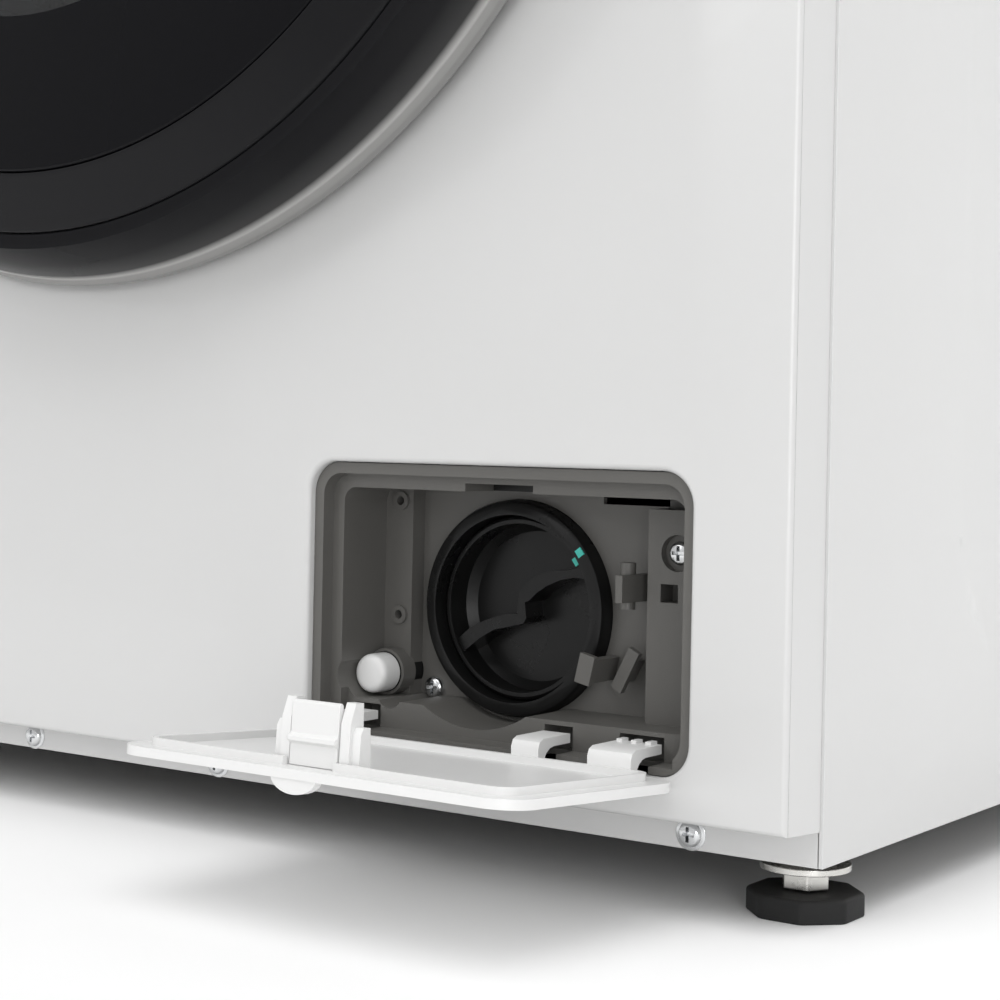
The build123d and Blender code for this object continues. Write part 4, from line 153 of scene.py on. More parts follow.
class WasherStage(bpy.types.PropertyGroup):
    """Floor, light and camera."""

    floor: FloatVectorProperty(
        name="Floor", description="Studio floor", subtype="COLOR", default=(0.93, 0.93, 0.93)
    )
    key_power: FloatProperty(
        name="Key light", description="Power of the key light", unit="POWER", default=9.0
    )
    fill_power: FloatProperty(
        name="Fill light", description="Power of the fill and back lights", unit="POWER", default=11.0
    )
    top_power: FloatProperty(
        name="Top light", description="Power of the light overhead", unit="POWER", default=180.0
    )
    horizon: FloatProperty(name="Horizon", description="Brightness of the room at eye level", default=0.62)
    zenith: FloatProperty(name="Zenith", description="Brightness of the room overhead", default=0.76)
    lens: FloatProperty(name="Lens", description="Focal length in millimetres", default=72.1)
    turn: FloatProperty(
        name="Turn", description="Camera's turn", unit="ROTATION", default=math.radians(35.24)
    )
    roll: FloatProperty(name="Roll", description="Camera's roll", unit="ROTATION", default=0.02)


class Washer(bpy.types.PropertyGroup):
    """All settings of the machine."""

    finish: PointerProperty(type=WasherFinish, name="Finishes", description="Colours")
    detail: PointerProperty(type=WasherDetail, name="Detail", description="Fine sizes")
    stage: PointerProperty(type=WasherStage, name="Stage", description="Floor, light and camera")


# Shader effects that several finishes share


def new_node(tree, kind, sockets=None, **settings):
    """A node with its settings and its plain input values."""
    made = tree.nodes.new(kind)
    for key, value in settings.items():
        setattr(made, key, value)
    for key, value in (sockets or {}).items():
        made.inputs[key].default_value = value
    return made


def join(tree, source, output, target, socket):
    """Links one node's output to another's input."""
    tree.links.new(source.outputs[output], target.inputs[socket])


def effect(name, inputs, outputs):
    """An empty shader group with its group input and output nodes."""
    tree = bpy.data.node_groups.new(name, "ShaderNodeTree")
    for label, kind, value in inputs:
        socket = tree.interface.new_socket(label, in_out="INPUT", socket_type=kind)
        if value is not None:
            socket.default_value = value
    for label, kind in outputs:
        tree.interface.new_socket(label, in_out="OUTPUT", socket_type=kind)
    return tree, tree.nodes.new("NodeGroupInput"), tree.nodes.new("NodeGroupOutput")


def grain_effect():
    """Fine moulded or sprayed grain, with a broad cloud for tone."""
    tree, entry, end = effect(
        "Surface grain",
        [("Vector", "NodeSocketVector", None), ("Scale", "NodeSocketFloat", 900.0),
         ("Depth", "NodeSocketFloat", 0.00003), ("Cloud", "NodeSocketFloat", 9.0)],
        [("Tone", "NodeSocketFloat"), ("Speckle", "NodeSocketFloat"), ("Normal", "NodeSocketVector")],
    )
    fine = new_node(tree, "ShaderNodeTexNoise", {"Detail": 2.0, "Roughness": 0.55})
    cloud = new_node(tree, "ShaderNodeTexNoise", {"Detail": 4.0, "Roughness": 0.6})
    bump = new_node(tree, "ShaderNodeBump", {"Strength": 1.0})
    join(tree, entry, "Vector", fine, "Vector")
    join(tree, entry, "Scale", fine, "Scale")
    join(tree, entry, "Vector", cloud, "Vector")
    join(tree, entry, "Cloud", cloud, "Scale")
    join(tree, entry, "Depth", bump, "Distance")
    join(tree, fine, "Fac", bump, "Height")
    join(tree, cloud, "Fac", end, "Tone")
    join(tree, fine, "Fac", end, "Speckle")
    join(tree, bump, "Normal", end, "Normal")
    return tree


def brushed_effect():
    """Long fine lines drawn along one axis."""
    tree, entry, end = effect(
        "Brushed lines",
        [("Vector", "NodeSocketVector", None), ("Stretch", "NodeSocketVector", (40.0, 900.0, 900.0)),
         ("Depth", "NodeSocketFloat", 0.00001)],
        [("Line", "NodeSocketFloat"), ("Normal", "NodeSocketVector")],
    )
    stretch = new_node(tree, "ShaderNodeVectorMath", operation="MULTIPLY")
    lines = new_node(tree, "ShaderNodeTexNoise", {"Scale": 1.0, "Detail": 3.0})
    bump = new_node(tree, "ShaderNodeBump", {"Strength": 1.0})
    join(tree, entry, "Vector", stretch, 0)
    join(tree, entry, "Stretch", stretch, 1)
    join(tree, stretch, "Vector", lines, "Vector")
    join(tree, entry, "Depth", bump, "Distance")
    join(tree, lines, "Fac", bump, "Height")
    join(tree, lines, "Fac", end, "Line")
    join(tree, bump, "Normal", end, "Normal")
    return tree


def dust_effect():
    """A thin film of dust that gathers on upward faces."""
    tree, entry, end = effect(
        "Dust film",
        [("Vector", "NodeSocketVector", None), ("Amount", "NodeSocketFloat", 0.15)],
        [("Film", "NodeSocketFloat")],
    )
    shape = tree.nodes.new("ShaderNodeNewGeometry")
    parts = tree.nodes.new("ShaderNodeSeparateXYZ")
    facing = new_node(tree, "ShaderNodeMapRange", {"From Min": 0.2, "From Max": 1.0})
    patch = new_node(tree, "ShaderNodeTexNoise", {"Scale": 60.0, "Detail": 6.0, "Roughness": 0.7})
    blend = new_node(tree, "ShaderNodeMath", operation="MULTIPLY")
    amount = new_node(tree, "ShaderNodeMath", operation="MULTIPLY")
    join(tree, shape, "Normal", parts, "Vector")
    join(tree, parts, "Z", facing, "Value")
    join(tree, entry, "Vector", patch, "Vector")
    join(tree, facing, "Result", blend, 0)
    join(tree, patch, "Fac", blend, 1)
    join(tree, blend, "Value", amount, 0)
    join(tree, entry, "Amount", amount, 1)
    join(tree, amount, "Value", end, "Film")
    return tree


def spangle_effect():
    """Crystal spangle of galvanised sheet."""
    tree, entry, end = effect(
        "Zinc spangle",
        [("Vector", "NodeSocketVector", None), ("Scale", "NodeSocketFloat", 70.0)],
        [("Crystal", "NodeSocketFloat")],
    )
    warp = new_node(tree, "ShaderNodeTexNoise", {"Scale": 50.0, "Detail": 3.0})
    push = new_node(tree, "ShaderNodeVectorMath", {"Scale": 0.012}, operation="SCALE")
    add = new_node(tree, "ShaderNodeVectorMath", operation="ADD")
    cells = new_node(tree, "ShaderNodeTexVoronoi")
    grey = tree.nodes.new("ShaderNodeRGBToBW")
    join(tree, entry, "Vector", warp, "Vector")
    join(tree, warp, "Color", push, 0)
    join(tree, entry, "Vector", add, 0)
    join(tree, push, "Vector", add, 1)
    join(tree, add, "Vector", cells, "Vector")
    join(tree, entry, "Scale", cells, "Scale")
    join(tree, cells, "Color", grey, "Color")
    join(tree, grey, "Val", end, "Crystal")
    return tree


EFFECTS = {}
EFFECT_MAKERS = {
    "grain": grain_effect, "brushed": brushed_effect, "dust": dust_effect, "spangle": spangle_effect,
}


def use_effect(tree, name, sockets=None):
    """Places a shared effect in a material, and builds it the first time."""
    if name not in EFFECTS:
        EFFECTS[name] = EFFECT_MAKERS[name]()
    made = tree.nodes.new("ShaderNodeGroup")
    made.node_tree = EFFECTS[name]
    for key, value in (sockets or {}).items():
        made.inputs[key].default_value = value
    return made


# Finishes

FINISHES = {}
# The colour sockets of a Mix node, which share their names with its other kinds
MIX_SHARE, MIX_FIRST, MIX_SECOND, MIX_RESULT = 0, 6, 7, 2


def made_once(maker):
    """Lets a finish be asked for many times under its name, and made only the first time."""
    def give(name, *values, **settings):
        if name not in FINISHES:
            FINISHES[name] = maker(name, *values, **settings)
        return FINISHES[name]
    return give


def shader(name):
    """A new material with its tree, its Principled shader and its object coordinates."""
    material = bpy.data.materials.new(name)
    material.use_nodes = True
    tree = material.node_tree
    surface = tree.nodes["Principled BSDF"]
    return material, tree, surface, tree.nodes.new("ShaderNodeTexCoord")


def tone_mix(tree, low, high, fac_node, fac_socket):
    """A colour that goes from one tone to another with a node's output."""
    mix = new_node(tree, "ShaderNodeMix", data_type="RGBA")
    mix.inputs[MIX_FIRST].default_value = (*low, 1)
    mix.inputs[MIX_SECOND].default_value = (*high, 1)
    tree.links.new(fac_node.outputs[fac_socket], mix.inputs[MIX_SHARE])
    return mix


def dusted(tree, where, colour_mix, film_colour, amount):
    """Lays the dust film over a colour."""
    dust = use_effect(tree, "dust", {"Amount": amount})
    join(tree, where, "Object", dust, "Vector")
    mix = new_node(tree, "ShaderNodeMix", data_type="RGBA")
    mix.inputs[MIX_SECOND].default_value = (*film_colour, 1)
    tree.links.new(dust.outputs["Film"], mix.inputs[MIX_SHARE])
    tree.links.new(colour_mix.outputs[MIX_RESULT], mix.inputs[MIX_FIRST])
    return mix


def spread(tree, source, socket, low, high):
    """Maps the middle of a noise to a range of values."""
    limits = {"From Min": 0.3, "From Max": 0.7, "To Min": low, "To Max": high}
    made = new_node(tree, "ShaderNodeMapRange", limits)
    join(tree, source, socket, made, "Value")
    return made


@made_once
def coated(name, colour, rough, grain=900.0, depth=0.00003, cloud=9.0, shift=0.035, rough_shift=0.05,
           dust=0.0, metallic=0.0, coat=0.0, specular=0.5):
    """A painted, moulded or cast finish: toned colour, fine grain, uneven gloss and a little dust."""
    material, tree, surface, where = shader(name)
    surface.inputs["Metallic"].default_value = metallic
    surface.inputs["Coat Weight"].default_value = coat
    surface.inputs["Specular IOR Level"].default_value = specular
    texture = use_effect(tree, "grain", {"Scale": grain, "Depth": depth, "Cloud": cloud})
    join(tree, where, "Object", texture, "Vector")
    low = [max(0.0, c * (1 - shift)) for c in colour]
    high = [min(1.0, c * (1 + shift)) for c in colour]
    mix = tone_mix(tree, low, high, texture, "Tone")
    if dust:
        mix = dusted(tree, where, mix, (0.42, 0.40, 0.37), dust)
    tree.links.new(mix.outputs[MIX_RESULT], surface.inputs["Base Color"])
    gloss = spread(tree, texture, "Tone", rough - rough_shift, rough + rough_shift)
    join(tree, gloss, "Result", surface, "Roughness")
    join(tree, texture, "Normal", surface, "Normal")
    material.diffuse_color = (*colour, 1)
    return material


@made_once
def brushed(name, colour, rough, stretch, depth=0.000008, shift=0.10, rough_shift=0.08):
    """Drawn, turned or brushed bare metal."""
    material, tree, surface, where = shader(name)
    surface.inputs["Metallic"].default_value = 1.0
    lines = use_effect(tree, "brushed", {"Stretch": stretch, "Depth": depth})
    join(tree, where, "Object", lines, "Vector")
    low = [c * (1 - shift) for c in colour]
    high = [min(1.0, c * (1 + shift)) for c in colour]
    mix = tone_mix(tree, low, high, lines, "Line")
    tree.links.new(mix.outputs[MIX_RESULT], surface.inputs["Base Color"])
    gloss = spread(tree, lines, "Line", rough - rough_shift, rough + rough_shift)
    join(tree, gloss, "Result", surface, "Roughness")
    join(tree, lines, "Normal", surface, "Normal")
    material.diffuse_color = (*colour, 1)
    return material


@made_once
def galvanised(name):
    """Hot-dip zinc sheet of the back."""
    material, tree, surface, where = shader(name)
    surface.inputs["Metallic"].default_value = 0.9
    cells = use_effect(tree, "spangle", {"Scale": 75.0})
    fine = use_effect(tree, "grain", {"Scale": 700.0, "Depth": 0.00001, "Cloud": 5.0})
    join(tree, where, "Object", cells, "Vector")
    join(tree, where, "Object", fine, "Vector")
    mix = tone_mix(tree, (0.50, 0.51, 0.52), (0.68, 0.69, 0.70), cells, "Crystal")
    mix = dusted(tree, where, mix, (0.36, 0.35, 0.33), 0.3)
    tree.links.new(mix.outputs[MIX_RESULT], surface.inputs["Base Color"])
    gloss = spread(tree, cells, "Crystal", 0.36, 0.50)
    join(tree, gloss, "Result", surface, "Roughness")
    join(tree, fine, "Normal", surface, "Normal")
    material.diffuse_color = (0.6, 0.6, 0.61, 1)
    return material


@made_once
def clear(name, colour, rough, ior):
    """Clear or smoked glass with faint smears in its gloss."""
    material, tree, surface, where = shader(name)
    surface.inputs["Transmission Weight"].default_value = 1.0
    surface.inputs["IOR"].default_value = ior
    surface.inputs["Metallic"].default_value = 0.0
    texture = use_effect(tree, "grain", {"Scale": 160.0, "Depth": 0.0, "Cloud": 14.0})
    join(tree, where, "Object", texture, "Vector")
    low = [c * 0.96 for c in colour]
    high = [min(1.0, c * 1.03) for c in colour]
    mix = tone_mix(tree, low, high, texture, "Tone")
    tree.links.new(mix.outputs[MIX_RESULT], surface.inputs["Base Color"])
    gloss = spread(tree, texture, "Tone", rough, rough + 0.03)
    join(tree, gloss, "Result", surface, "Roughness")
    material.diffuse_color = (*colour, 1)
    return material


@made_once
def ring_lacquer(name, edge):
    """Black lacquer on the slope of the door's ring, lightening outward as a painted reflection, with a
    painted highlight line where it meets the satin titanium of its rim.
    """
    material, tree, surface, where = shader(name)
    surface.inputs["Specular IOR Level"].default_value = 0.06
    centre = new_node(tree, "ShaderNodeVectorMath", operation="SUBTRACT")
    centre.inputs[1].default_value = at(0, 0, DOOR_Z)
    face = new_node(tree, "ShaderNodeVectorMath", operation="MULTIPLY")
    face.inputs[1].default_value = (1.0, 0.0, 1.0)
    reach = new_node(tree, "ShaderNodeVectorMath", operation="LENGTH")
    share = new_node(tree, "ShaderNodeMapRange", {"From Min": 0.232, "From Max": 0.2456})
    tones = tree.nodes.new("ShaderNodeValToRGB")
    # The slope's stops lighten outward as painted reflection; the brightest stop is a painted highlight
    # line; the last stops are the rim's own titanium.
    painted_highlight = [min(1.0, c * 1.5) for c in edge]
    stops = [(0.0, (0.008, 0.008, 0.009)), (0.55, (0.014, 0.014, 0.015)), (0.79, (0.045, 0.045, 0.045)),
             (0.85, painted_highlight), (0.90, edge), (1.0, edge)]
    while len(tones.color_ramp.elements) < len(stops):
        tones.color_ramp.elements.new(0.5)
    for element, (place, colour) in zip(tones.color_ramp.elements, stops):
        element.position = place
        element.color = (*colour, 1)
    texture = use_effect(tree, "grain", {"Scale": 2200.0, "Depth": 0.000004, "Cloud": 8.0})
    join(tree, where, "Object", texture, "Vector")
    join(tree, where, "Object", centre, 0)
    join(tree, centre, "Vector", face, 0)
    join(tree, face, "Vector", reach, 0)
    join(tree, reach, "Value", share, "Value")
    join(tree, share, "Result", tones, "Fac")
    join(tree, tones, "Color", surface, "Base Color")
    gloss = spread(tree, texture, "Tone", 0.21, 0.27)
    join(tree, gloss, "Result", surface, "Roughness")
    join(tree, texture, "Normal", surface, "Normal")
    material.diffuse_color = (*edge, 1)
    return material


@made_once
def lit(name, colour, strength):
    """A display segment that glows a little."""
    material, tree, surface, where = shader(name)
    texture = use_effect(tree, "grain", {"Scale": 400.0, "Depth": 0.0, "Cloud": 60.0})
    join(tree, where, "Object", texture, "Vector")
    mix = tone_mix(tree, [c * 0.85 for c in colour], colour, texture, "Tone")
    tree.links.new(mix.outputs[MIX_RESULT], surface.inputs["Emission Color"])
    tree.links.new(mix.outputs[MIX_RESULT], surface.inputs["Base Color"])
    surface.inputs["Emission Strength"].default_value = strength
    surface.inputs["Roughness"].default_value = 0.3
    material.diffuse_color = (*colour, 1)
    return material


def finish_for(slot):
    """The finish that goes with a material slot of the record."""
    look = washer().finish
    makers = {
        "white_enamel": lambda: coated(
            "stove_enamel", look.enamel, 0.24, grain=520.0, depth=0.000012, cloud=3.0, shift=0.012,
            rough_shift=0.03, coat=0.25),
        "white_plastic": lambda: coated(
            "white_moulding", look.plastic, 0.34, grain=1500.0, depth=0.00001, cloud=12.0, shift=0.012,
            rough_shift=0.04),
        "dark_housing": lambda: coated(
            "recess_moulding", look.housing, 0.46, grain=2400.0, depth=0.00004, cloud=25.0, shift=0.06,
            dust=0.05),
        "black_plastic": lambda: coated(
            "black_moulding", look.cap, 0.30, grain=1300.0, depth=0.00001, cloud=40.0, shift=0.2,
            specular=0.25),
        "zinc_plate": lambda: coated(
            "zinc_plating", (0.70, 0.69, 0.66), 0.28, grain=1100.0, depth=0.000012, cloud=120.0, shift=0.09,
            rough_shift=0.08, metallic=1.0),
        "screw_chrome": lambda: coated(
            "bright_plating", (0.72, 0.73, 0.74), 0.20, grain=1500.0, depth=0.000008, cloud=300.0,
            shift=0.08, rough_shift=0.06, metallic=1.0),
        "foot_rubber": lambda: coated(
            "foot_rubber", (0.012, 0.012, 0.012), 0.62, grain=1400.0, depth=0.00005, cloud=90.0,
            shift=0.2, dust=0.04, specular=0.3),
        "ring_titan": lambda: ring_lacquer("ring_lacquer", look.ring),
        "window_smoke": lambda: clear("smoked_window", (0.50, 0.51, 0.53), 0.01, 1.40),
        "bowl_glass": lambda: clear("pressed_glass", (0.90, 0.93, 0.92), 0.02, 1.47),
        "grey_rubber": lambda: coated(
            "boot_rubber", (0.30, 0.30, 0.31), 0.60, grain=1200.0, depth=0.00004, cloud=20.0, shift=0.06,
            dust=0.05),
        "black_rubber": lambda: coated(
            "black_rubber", (0.018, 0.018, 0.018), 0.58, grain=1300.0, depth=0.00004, cloud=30.0,
            shift=0.15, dust=0.08),
        "tub_plastic": lambda: coated(
            "tub_moulding", (0.52, 0.52, 0.50), 0.52, grain=800.0, depth=0.00004, cloud=14.0, shift=0.06,
            dust=0.10),
        "cast_weight": lambda: coated(
            "cast_weight", (0.17, 0.17, 0.17), 0.78, grain=420.0, depth=0.00030, cloud=30.0, shift=0.25,
            dust=0.2),
        "drum_steel": lambda: brushed("drum_steel", (0.66, 0.66, 0.66), 0.27, (900.0, 30.0, 900.0)),
        "bare_aluminium": lambda: coated(
            "die_casting", (0.62, 0.62, 0.62), 0.42, grain=700.0, depth=0.00006, cloud=30.0, shift=0.12,
            metallic=0.95),
        "bearing_steel": lambda: brushed("bearing_steel", (0.55, 0.55, 0.55), 0.22, (700.0, 60.0, 700.0)),
        "galvanised": lambda: galvanised("galvanised_sheet"),
        "lens_black": lambda: coated(
            "display_lens", (0.010, 0.010, 0.012), 0.10, grain=300.0, depth=0.0, cloud=20.0, shift=0.1,
            rough_shift=0.02, specular=0.3),
        "button_grey": lambda: coated(
            "button_moulding", (0.58, 0.58, 0.58), 0.32, grain=1500.0, depth=0.00001, cloud=60.0,
            shift=0.03),
        "knob_silver": lambda: coated(
            "knob_lacquer", (0.55, 0.55, 0.55), 0.28, grain=1800.0, depth=0.000006, cloud=50.0, shift=0.05,
            metallic=0.6, coat=0.3),
    }
    return makers[slot]()


# Mesh helpers


def keep(name, mesh, body, slot, material=None, edge=0.0, angle=35.0, steps=2):
    """Places a finished mesh as a piece that rides on a body, or on none if it is to bend between two."""
    mesh.shade_smooth()
    mesh.set_sharp_from_angle(angle=math.radians(angle))
    piece = bpy.data.objects.new(name, mesh)
    bpy.context.scene.collection.objects.link(piece)
    mesh.materials.clear()
    mesh.materials.append(material or finish_for(slot))
    if edge:
        bevel = piece.modifiers.new("Edge", "BEVEL")
        bevel.width = edge
        bevel.segments = steps
        bevel.limit_method = "ANGLE"
        bevel.angle_limit = math.radians(angle)
        bevel.harden_normals = True
        bevel.miter_outer = "MITER_ARC"
    if body:
        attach(piece, body)
    return piece


def mesh_from(name, points, faces):
    """A mesh of points and faces."""
    mesh = bpy.data.meshes.new(name)
    mesh.from_pydata([tuple(p) for p in points], [], faces)
    mesh.validate()
    mesh.update()
    return mesh


def mesh_from_bmesh(name, form):
    """A plain mesh of a form, free of any layer that the form carried."""
    form.verts.index_update()
    points = [v.co.copy() for v in form.verts]
    faces = [[v.index for v in f.verts] for f in form.faces]
    form.free()
    return mesh_from(name, points, faces)


def merged_copy(node):
    """A joined-up copy of a solid's triangles, with flat areas made one face."""
    form = bmesh.new()
    form.from_mesh(frame["nodes"][node].data)
    bmesh.ops.remove_doubles(form, verts=form.verts, dist=2e-6)
    bmesh.ops.dissolve_limit(
        form, angle_limit=math.radians(0.4), verts=form.verts, edges=form.edges,
        use_dissolve_boundaries=False,
    )
    return form


def stand_in(node, form, edge, steps=2, material=None, ending="_soft"):
    """A reworked copy of a solid, its edges rounded, that stands for the solid."""
    name = node + ending
    mesh = mesh_from_bmesh(name, form)
    piece = keep(name, mesh, BODY_OF[node], SLOT_OF[node], material, edge, steps=steps)
    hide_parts(node)


def soften(node, edge, steps=2, material=None):
    """A solid's own shape with rounded edges."""
    stand_in(node, merged_copy(node), edge, steps, material)


def circle(radius, count, x=0.0, y=0.0):
    """Evenly spaced points on a circle."""
    angles = [2 * math.pi * step / count for step in range(count)]
    return [(x + radius * math.cos(angle), y + radius * math.sin(angle)) for angle in angles]


def fillet_path(points, radius, steps=4):
    """Rounds the corners of a closed outline of (across, along) points."""
    made = []
    count = len(points)
    for index, corner in enumerate(points):
        here = Vector(corner[:2])
        before = Vector(points[index - 1][:2]) - here
        after = Vector(points[(index + 1) % count][:2]) - here
        want = corner[2] if len(corner) > 2 else radius
        turn = before.angle(after, 0.0)
        if turn < 0.01 or turn > math.pi - 0.01 or want <= 0:
            made.append(here)
            continue
        cut = min(want / math.tan(turn / 2), before.length * 0.49, after.length * 0.49)
        first = here + before.normalized() * cut
        last = here + after.normalized() * cut
        for step in range(steps + 1):
            t = step / steps
            made.append(first.lerp(here, t).lerp(here.lerp(last, t), t))
    return made


def turn_outline(name, outline, x, z, steps):
    """A ring or dish: a closed outline of (radius, y) in millimetres, turned about the line at x, z."""
    form = bmesh.new()
    rings = []
    for step in range(steps):
        angle = 2 * math.pi * step / steps
        c, s = math.cos(angle), math.sin(angle)
        rings.append([form.verts.new(at(x + r * c, y, z + r * s)) for r, y in outline])
    count = len(outline)
    for step in range(steps):
        here, there = rings[step], rings[(step + 1) % steps]
        for index in range(count):
            after = (index + 1) % count
            form.faces.new((here[index], here[after], there[after], there[index]))
    bmesh.ops.remove_doubles(form, verts=form.verts, dist=1e-7)
    bmesh.ops.dissolve_degenerate(form, edges=form.edges, dist=1e-8)
    bmesh.ops.recalc_face_normals(form, faces=form.faces)
    return mesh_from_bmesh(name, form)


def turned(name, outline, x, z, steps, body, slot, material=None, angle=35.0):
    """A turned ring or dish, kept as a piece."""
    mesh = turn_outline(name, outline, x, z, steps)
    return keep(name, mesh, body, slot, material, angle=angle)


def pinch(form, low, high, axis, centre, near, radius):
    """Draws the corners of a round bar in to a smaller radius, between two places along its axis."""
    others = [index for index in range(3) if index != axis]
    for vert in form.verts:
        if not low <= vert.co[axis] <= high:
            continue
        away = [vert.co[index] - centre[index] for index in others]
        length = math.hypot(*away)
        if abs(length - near) < 0.00012:
            for index, part in zip(others, away):
                vert.co[index] = centre[index] + part * radius / length


def thread(name, centre, axis, low, high, crest, root, bore, pitch, columns):
    """A screw thread as a closed sleeve round a bar, all sizes in metres."""
    form = bmesh.new()
    first, second = [index for index in range(3) if index != axis]

    def ring(along, radius_at):
        """Corners round the bar at one place along it."""
        made = []
        for column in range(columns):
            angle = 2 * math.pi * column / columns
            radius = radius_at(column)
            place = [0.0, 0.0, 0.0]
            place[axis] = along
            place[first] = centre[first] + radius * math.cos(angle)
            place[second] = centre[second] + radius * math.sin(angle)
            made.append(form.verts.new(place))
        return made

    rings = []
    rows = max(4, int((high - low) / pitch * 6))
    for row in range(rows + 1):
        along = low + (high - low) * row / rows
        fade = min(1.0, row / 5, (rows - row) / 5)

        def flank(column):
            """The thread's radius at a column of this row."""
            share = (along / pitch - column / columns) % 1.0
            rise = 1 - abs(2 * share - 1)
            return root + (crest - root) * rise * fade

        rings.append(ring(along, flank))
    for along in (high, low):
        rings.append(ring(along, lambda column: bore))
    stitch(form, rings, closed=True)
    return mesh_from_bmesh(name, form)


def stitch(form, rings, closed):
    """Joins rings of corners into a skin; a closed skin also joins the last ring to the first."""
    count = len(rings[0])
    pairs = list(zip(rings, rings[1:]))
    if closed:
        pairs.append((rings[-1], rings[0]))
    for here, there in pairs:
        for index in range(count):
            after = (index + 1) % count
            form.faces.new((here[index], here[after], there[after], there[index]))
    bmesh.ops.recalc_face_normals(form, faces=form.faces)


def bent_path(corners, radii, steps):
    """Straight runs joined by round bends."""
    made = [corners[0]]
    for before, here, after, radius in zip(corners, corners[1:], corners[2:], radii):
        first = (before - here).normalized()
        second = (after - here).normalized()
        half = first.angle(second) / 2
        cut = radius / math.tan(half)
        centre = here + (first + second).normalized() * radius / math.sin(half)
        start = here + first * cut - centre
        finish = here + second * cut - centre
        turn = start.angle(finish)
        axis = start.cross(finish).normalized()
        for step in range(steps + 1):
            made.append(centre + Matrix.Rotation(turn * step / steps, 3, axis) @ start)
    made.append(corners[-1])
    return made


def resample(points, spacing):
    """The same path with even steps along it."""
    lengths = [0.0]
    for here, there in zip(points, points[1:]):
        lengths.append(lengths[-1] + (there - here).length)
    count = max(2, int(lengths[-1] / spacing))
    made = []
    index = 0
    for step in range(count + 1):
        want = lengths[-1] * step / count
        while index < len(points) - 2 and lengths[index + 1] < want:
            index += 1
        span = max(lengths[index + 1] - lengths[index], 1e-9)
        made.append(points[index].lerp(points[index + 1], (want - lengths[index]) / span))
    return made


def tube(name, points, radius, sides, bore=0.0):
    """A tube along a path; its radius is a number or a function of the step, and a bore hollows it."""
    form = bmesh.new()
    count = len(points)
    side = (points[1] - points[0]).normalized().orthogonal().normalized()
    outer, inner = [], []
    for index, point in enumerate(points):
        ahead = (points[min(index + 1, count - 1)] - points[max(index - 1, 0)]).normalized()
        side = (side - ahead * side.dot(ahead)).normalized()
        across = ahead.cross(side)
        size = radius(index) if callable(radius) else radius
        spokes = [side * c + across * s for c, s in circle(1.0, sides)]
        outer.append([form.verts.new(point + spoke * size) for spoke in spokes])
        if bore:
            inner.append([form.verts.new(point + spoke * bore) for spoke in spokes])
    if bore:
        stitch(form, outer + inner[::-1], closed=True)
    else:
        stitch(form, outer, closed=False)
        form.faces.new(outer[0])
        form.faces.new(outer[-1])
        bmesh.ops.recalc_face_normals(form, faces=form.faces)
    return mesh_from_bmesh(name, form)


def corrugated(base, depth, spacing, pitch, count, plain):
    """The radius of a ribbed hose at each step, with plain cuffs at both ends."""
    def size(index):
        if index < plain or index > count - plain:
            return base
        return base - depth * (0.5 + 0.5 * math.cos(2 * math.pi * index * spacing / pitch))
    return size


def prism(name, outline, y0, y1, chamfer=0.0):
    """A closed (x, z) outline in millimetres drawn out along Y, its front edge chamfered."""
    form = bmesh.new()
    middle = sum((Vector(p) for p in outline), Vector((0, 0))) / len(outline)
    rows = []
    layers = [(y0, chamfer), (y0 + chamfer, 0.0), (y1, 0.0)] if chamfer else [(y0, 0.0), (y1, 0.0)]
    for y, inset in layers:
        ring = []
        for point in outline:
            away = Vector(point) - middle
            scale = (away.length - inset) / away.length if away.length else 1.0
            ring.append(form.verts.new(at(middle.x + away.x * scale, y, middle.y + away.y * scale)))
        rows.append(ring)
    stitch(form, rows, closed=False)
    form.faces.new(rows[0])
    form.faces.new(rows[-1])
    bmesh.ops.recalc_face_normals(form, faces=form.faces)
    return mesh_from_bmesh(name, form)


def arc_through(first, middle, last, steps):
    """Points on the arc from the first (across, along) point through the middle one to the last."""
    (ax, ay), (bx, by), (cx, cy) = first, middle, last
    share = 2 * (ax * (by - cy) + bx * (cy - ay) + cx * (ay - by))
    a, b, c = ax * ax + ay * ay, bx * bx + by * by, cx * cx + cy * cy
    ox = (a * (by - cy) + b * (cy - ay) + c * (ay - by)) / share
    oy = (a * (cx - bx) + b * (ax - cx) + c * (bx - ax)) / share
    radius = math.hypot(ax - ox, ay - oy)
    start = math.atan2(ay - oy, ax - ox)
    sweep = (math.atan2(cy - oy, cx - ox) - start + math.pi) % (2 * math.pi) - math.pi
    angles = [start + sweep * step / steps for step in range(steps + 1)]
    return [(ox + radius * math.cos(angle), oy + radius * math.sin(angle)) for angle in angles]


def cut_away(mesh, cutters):
    """A mesh with other closed meshes cut out of it."""
    things = []
    for made in [mesh] + cutters:
        thing = bpy.data.objects.new("cutting", made)
        bpy.context.scene.collection.objects.link(thing)
        things.append(thing)
    for tool in things[1:]:
        knife = things[0].modifiers.new("Cut", "BOOLEAN")
        knife.operation = "DIFFERENCE"
        knife.solver = "EXACT"
        knife.object = tool
    ready = things[0].evaluated_get(bpy.context.evaluated_depsgraph_get())
    result = bpy.data.meshes.new_from_object(ready)
    for thing in things:
        used = thing.data
        bpy.data.objects.remove(thing)
        bpy.data.meshes.remove(used)
    return result


def merged(name, meshes, weld=0.0):
    """Several meshes made one; corners closer than the weld become one corner."""
    form = bmesh.new()
    for mesh in meshes:
        form.from_mesh(mesh)
        bpy.data.meshes.remove(mesh)
    if weld:
        bmesh.ops.remove_doubles(form, verts=form.verts, dist=weld)
        bmesh.ops.recalc_face_normals(form, faces=form.faces)
    return mesh_from_bmesh(name, form)


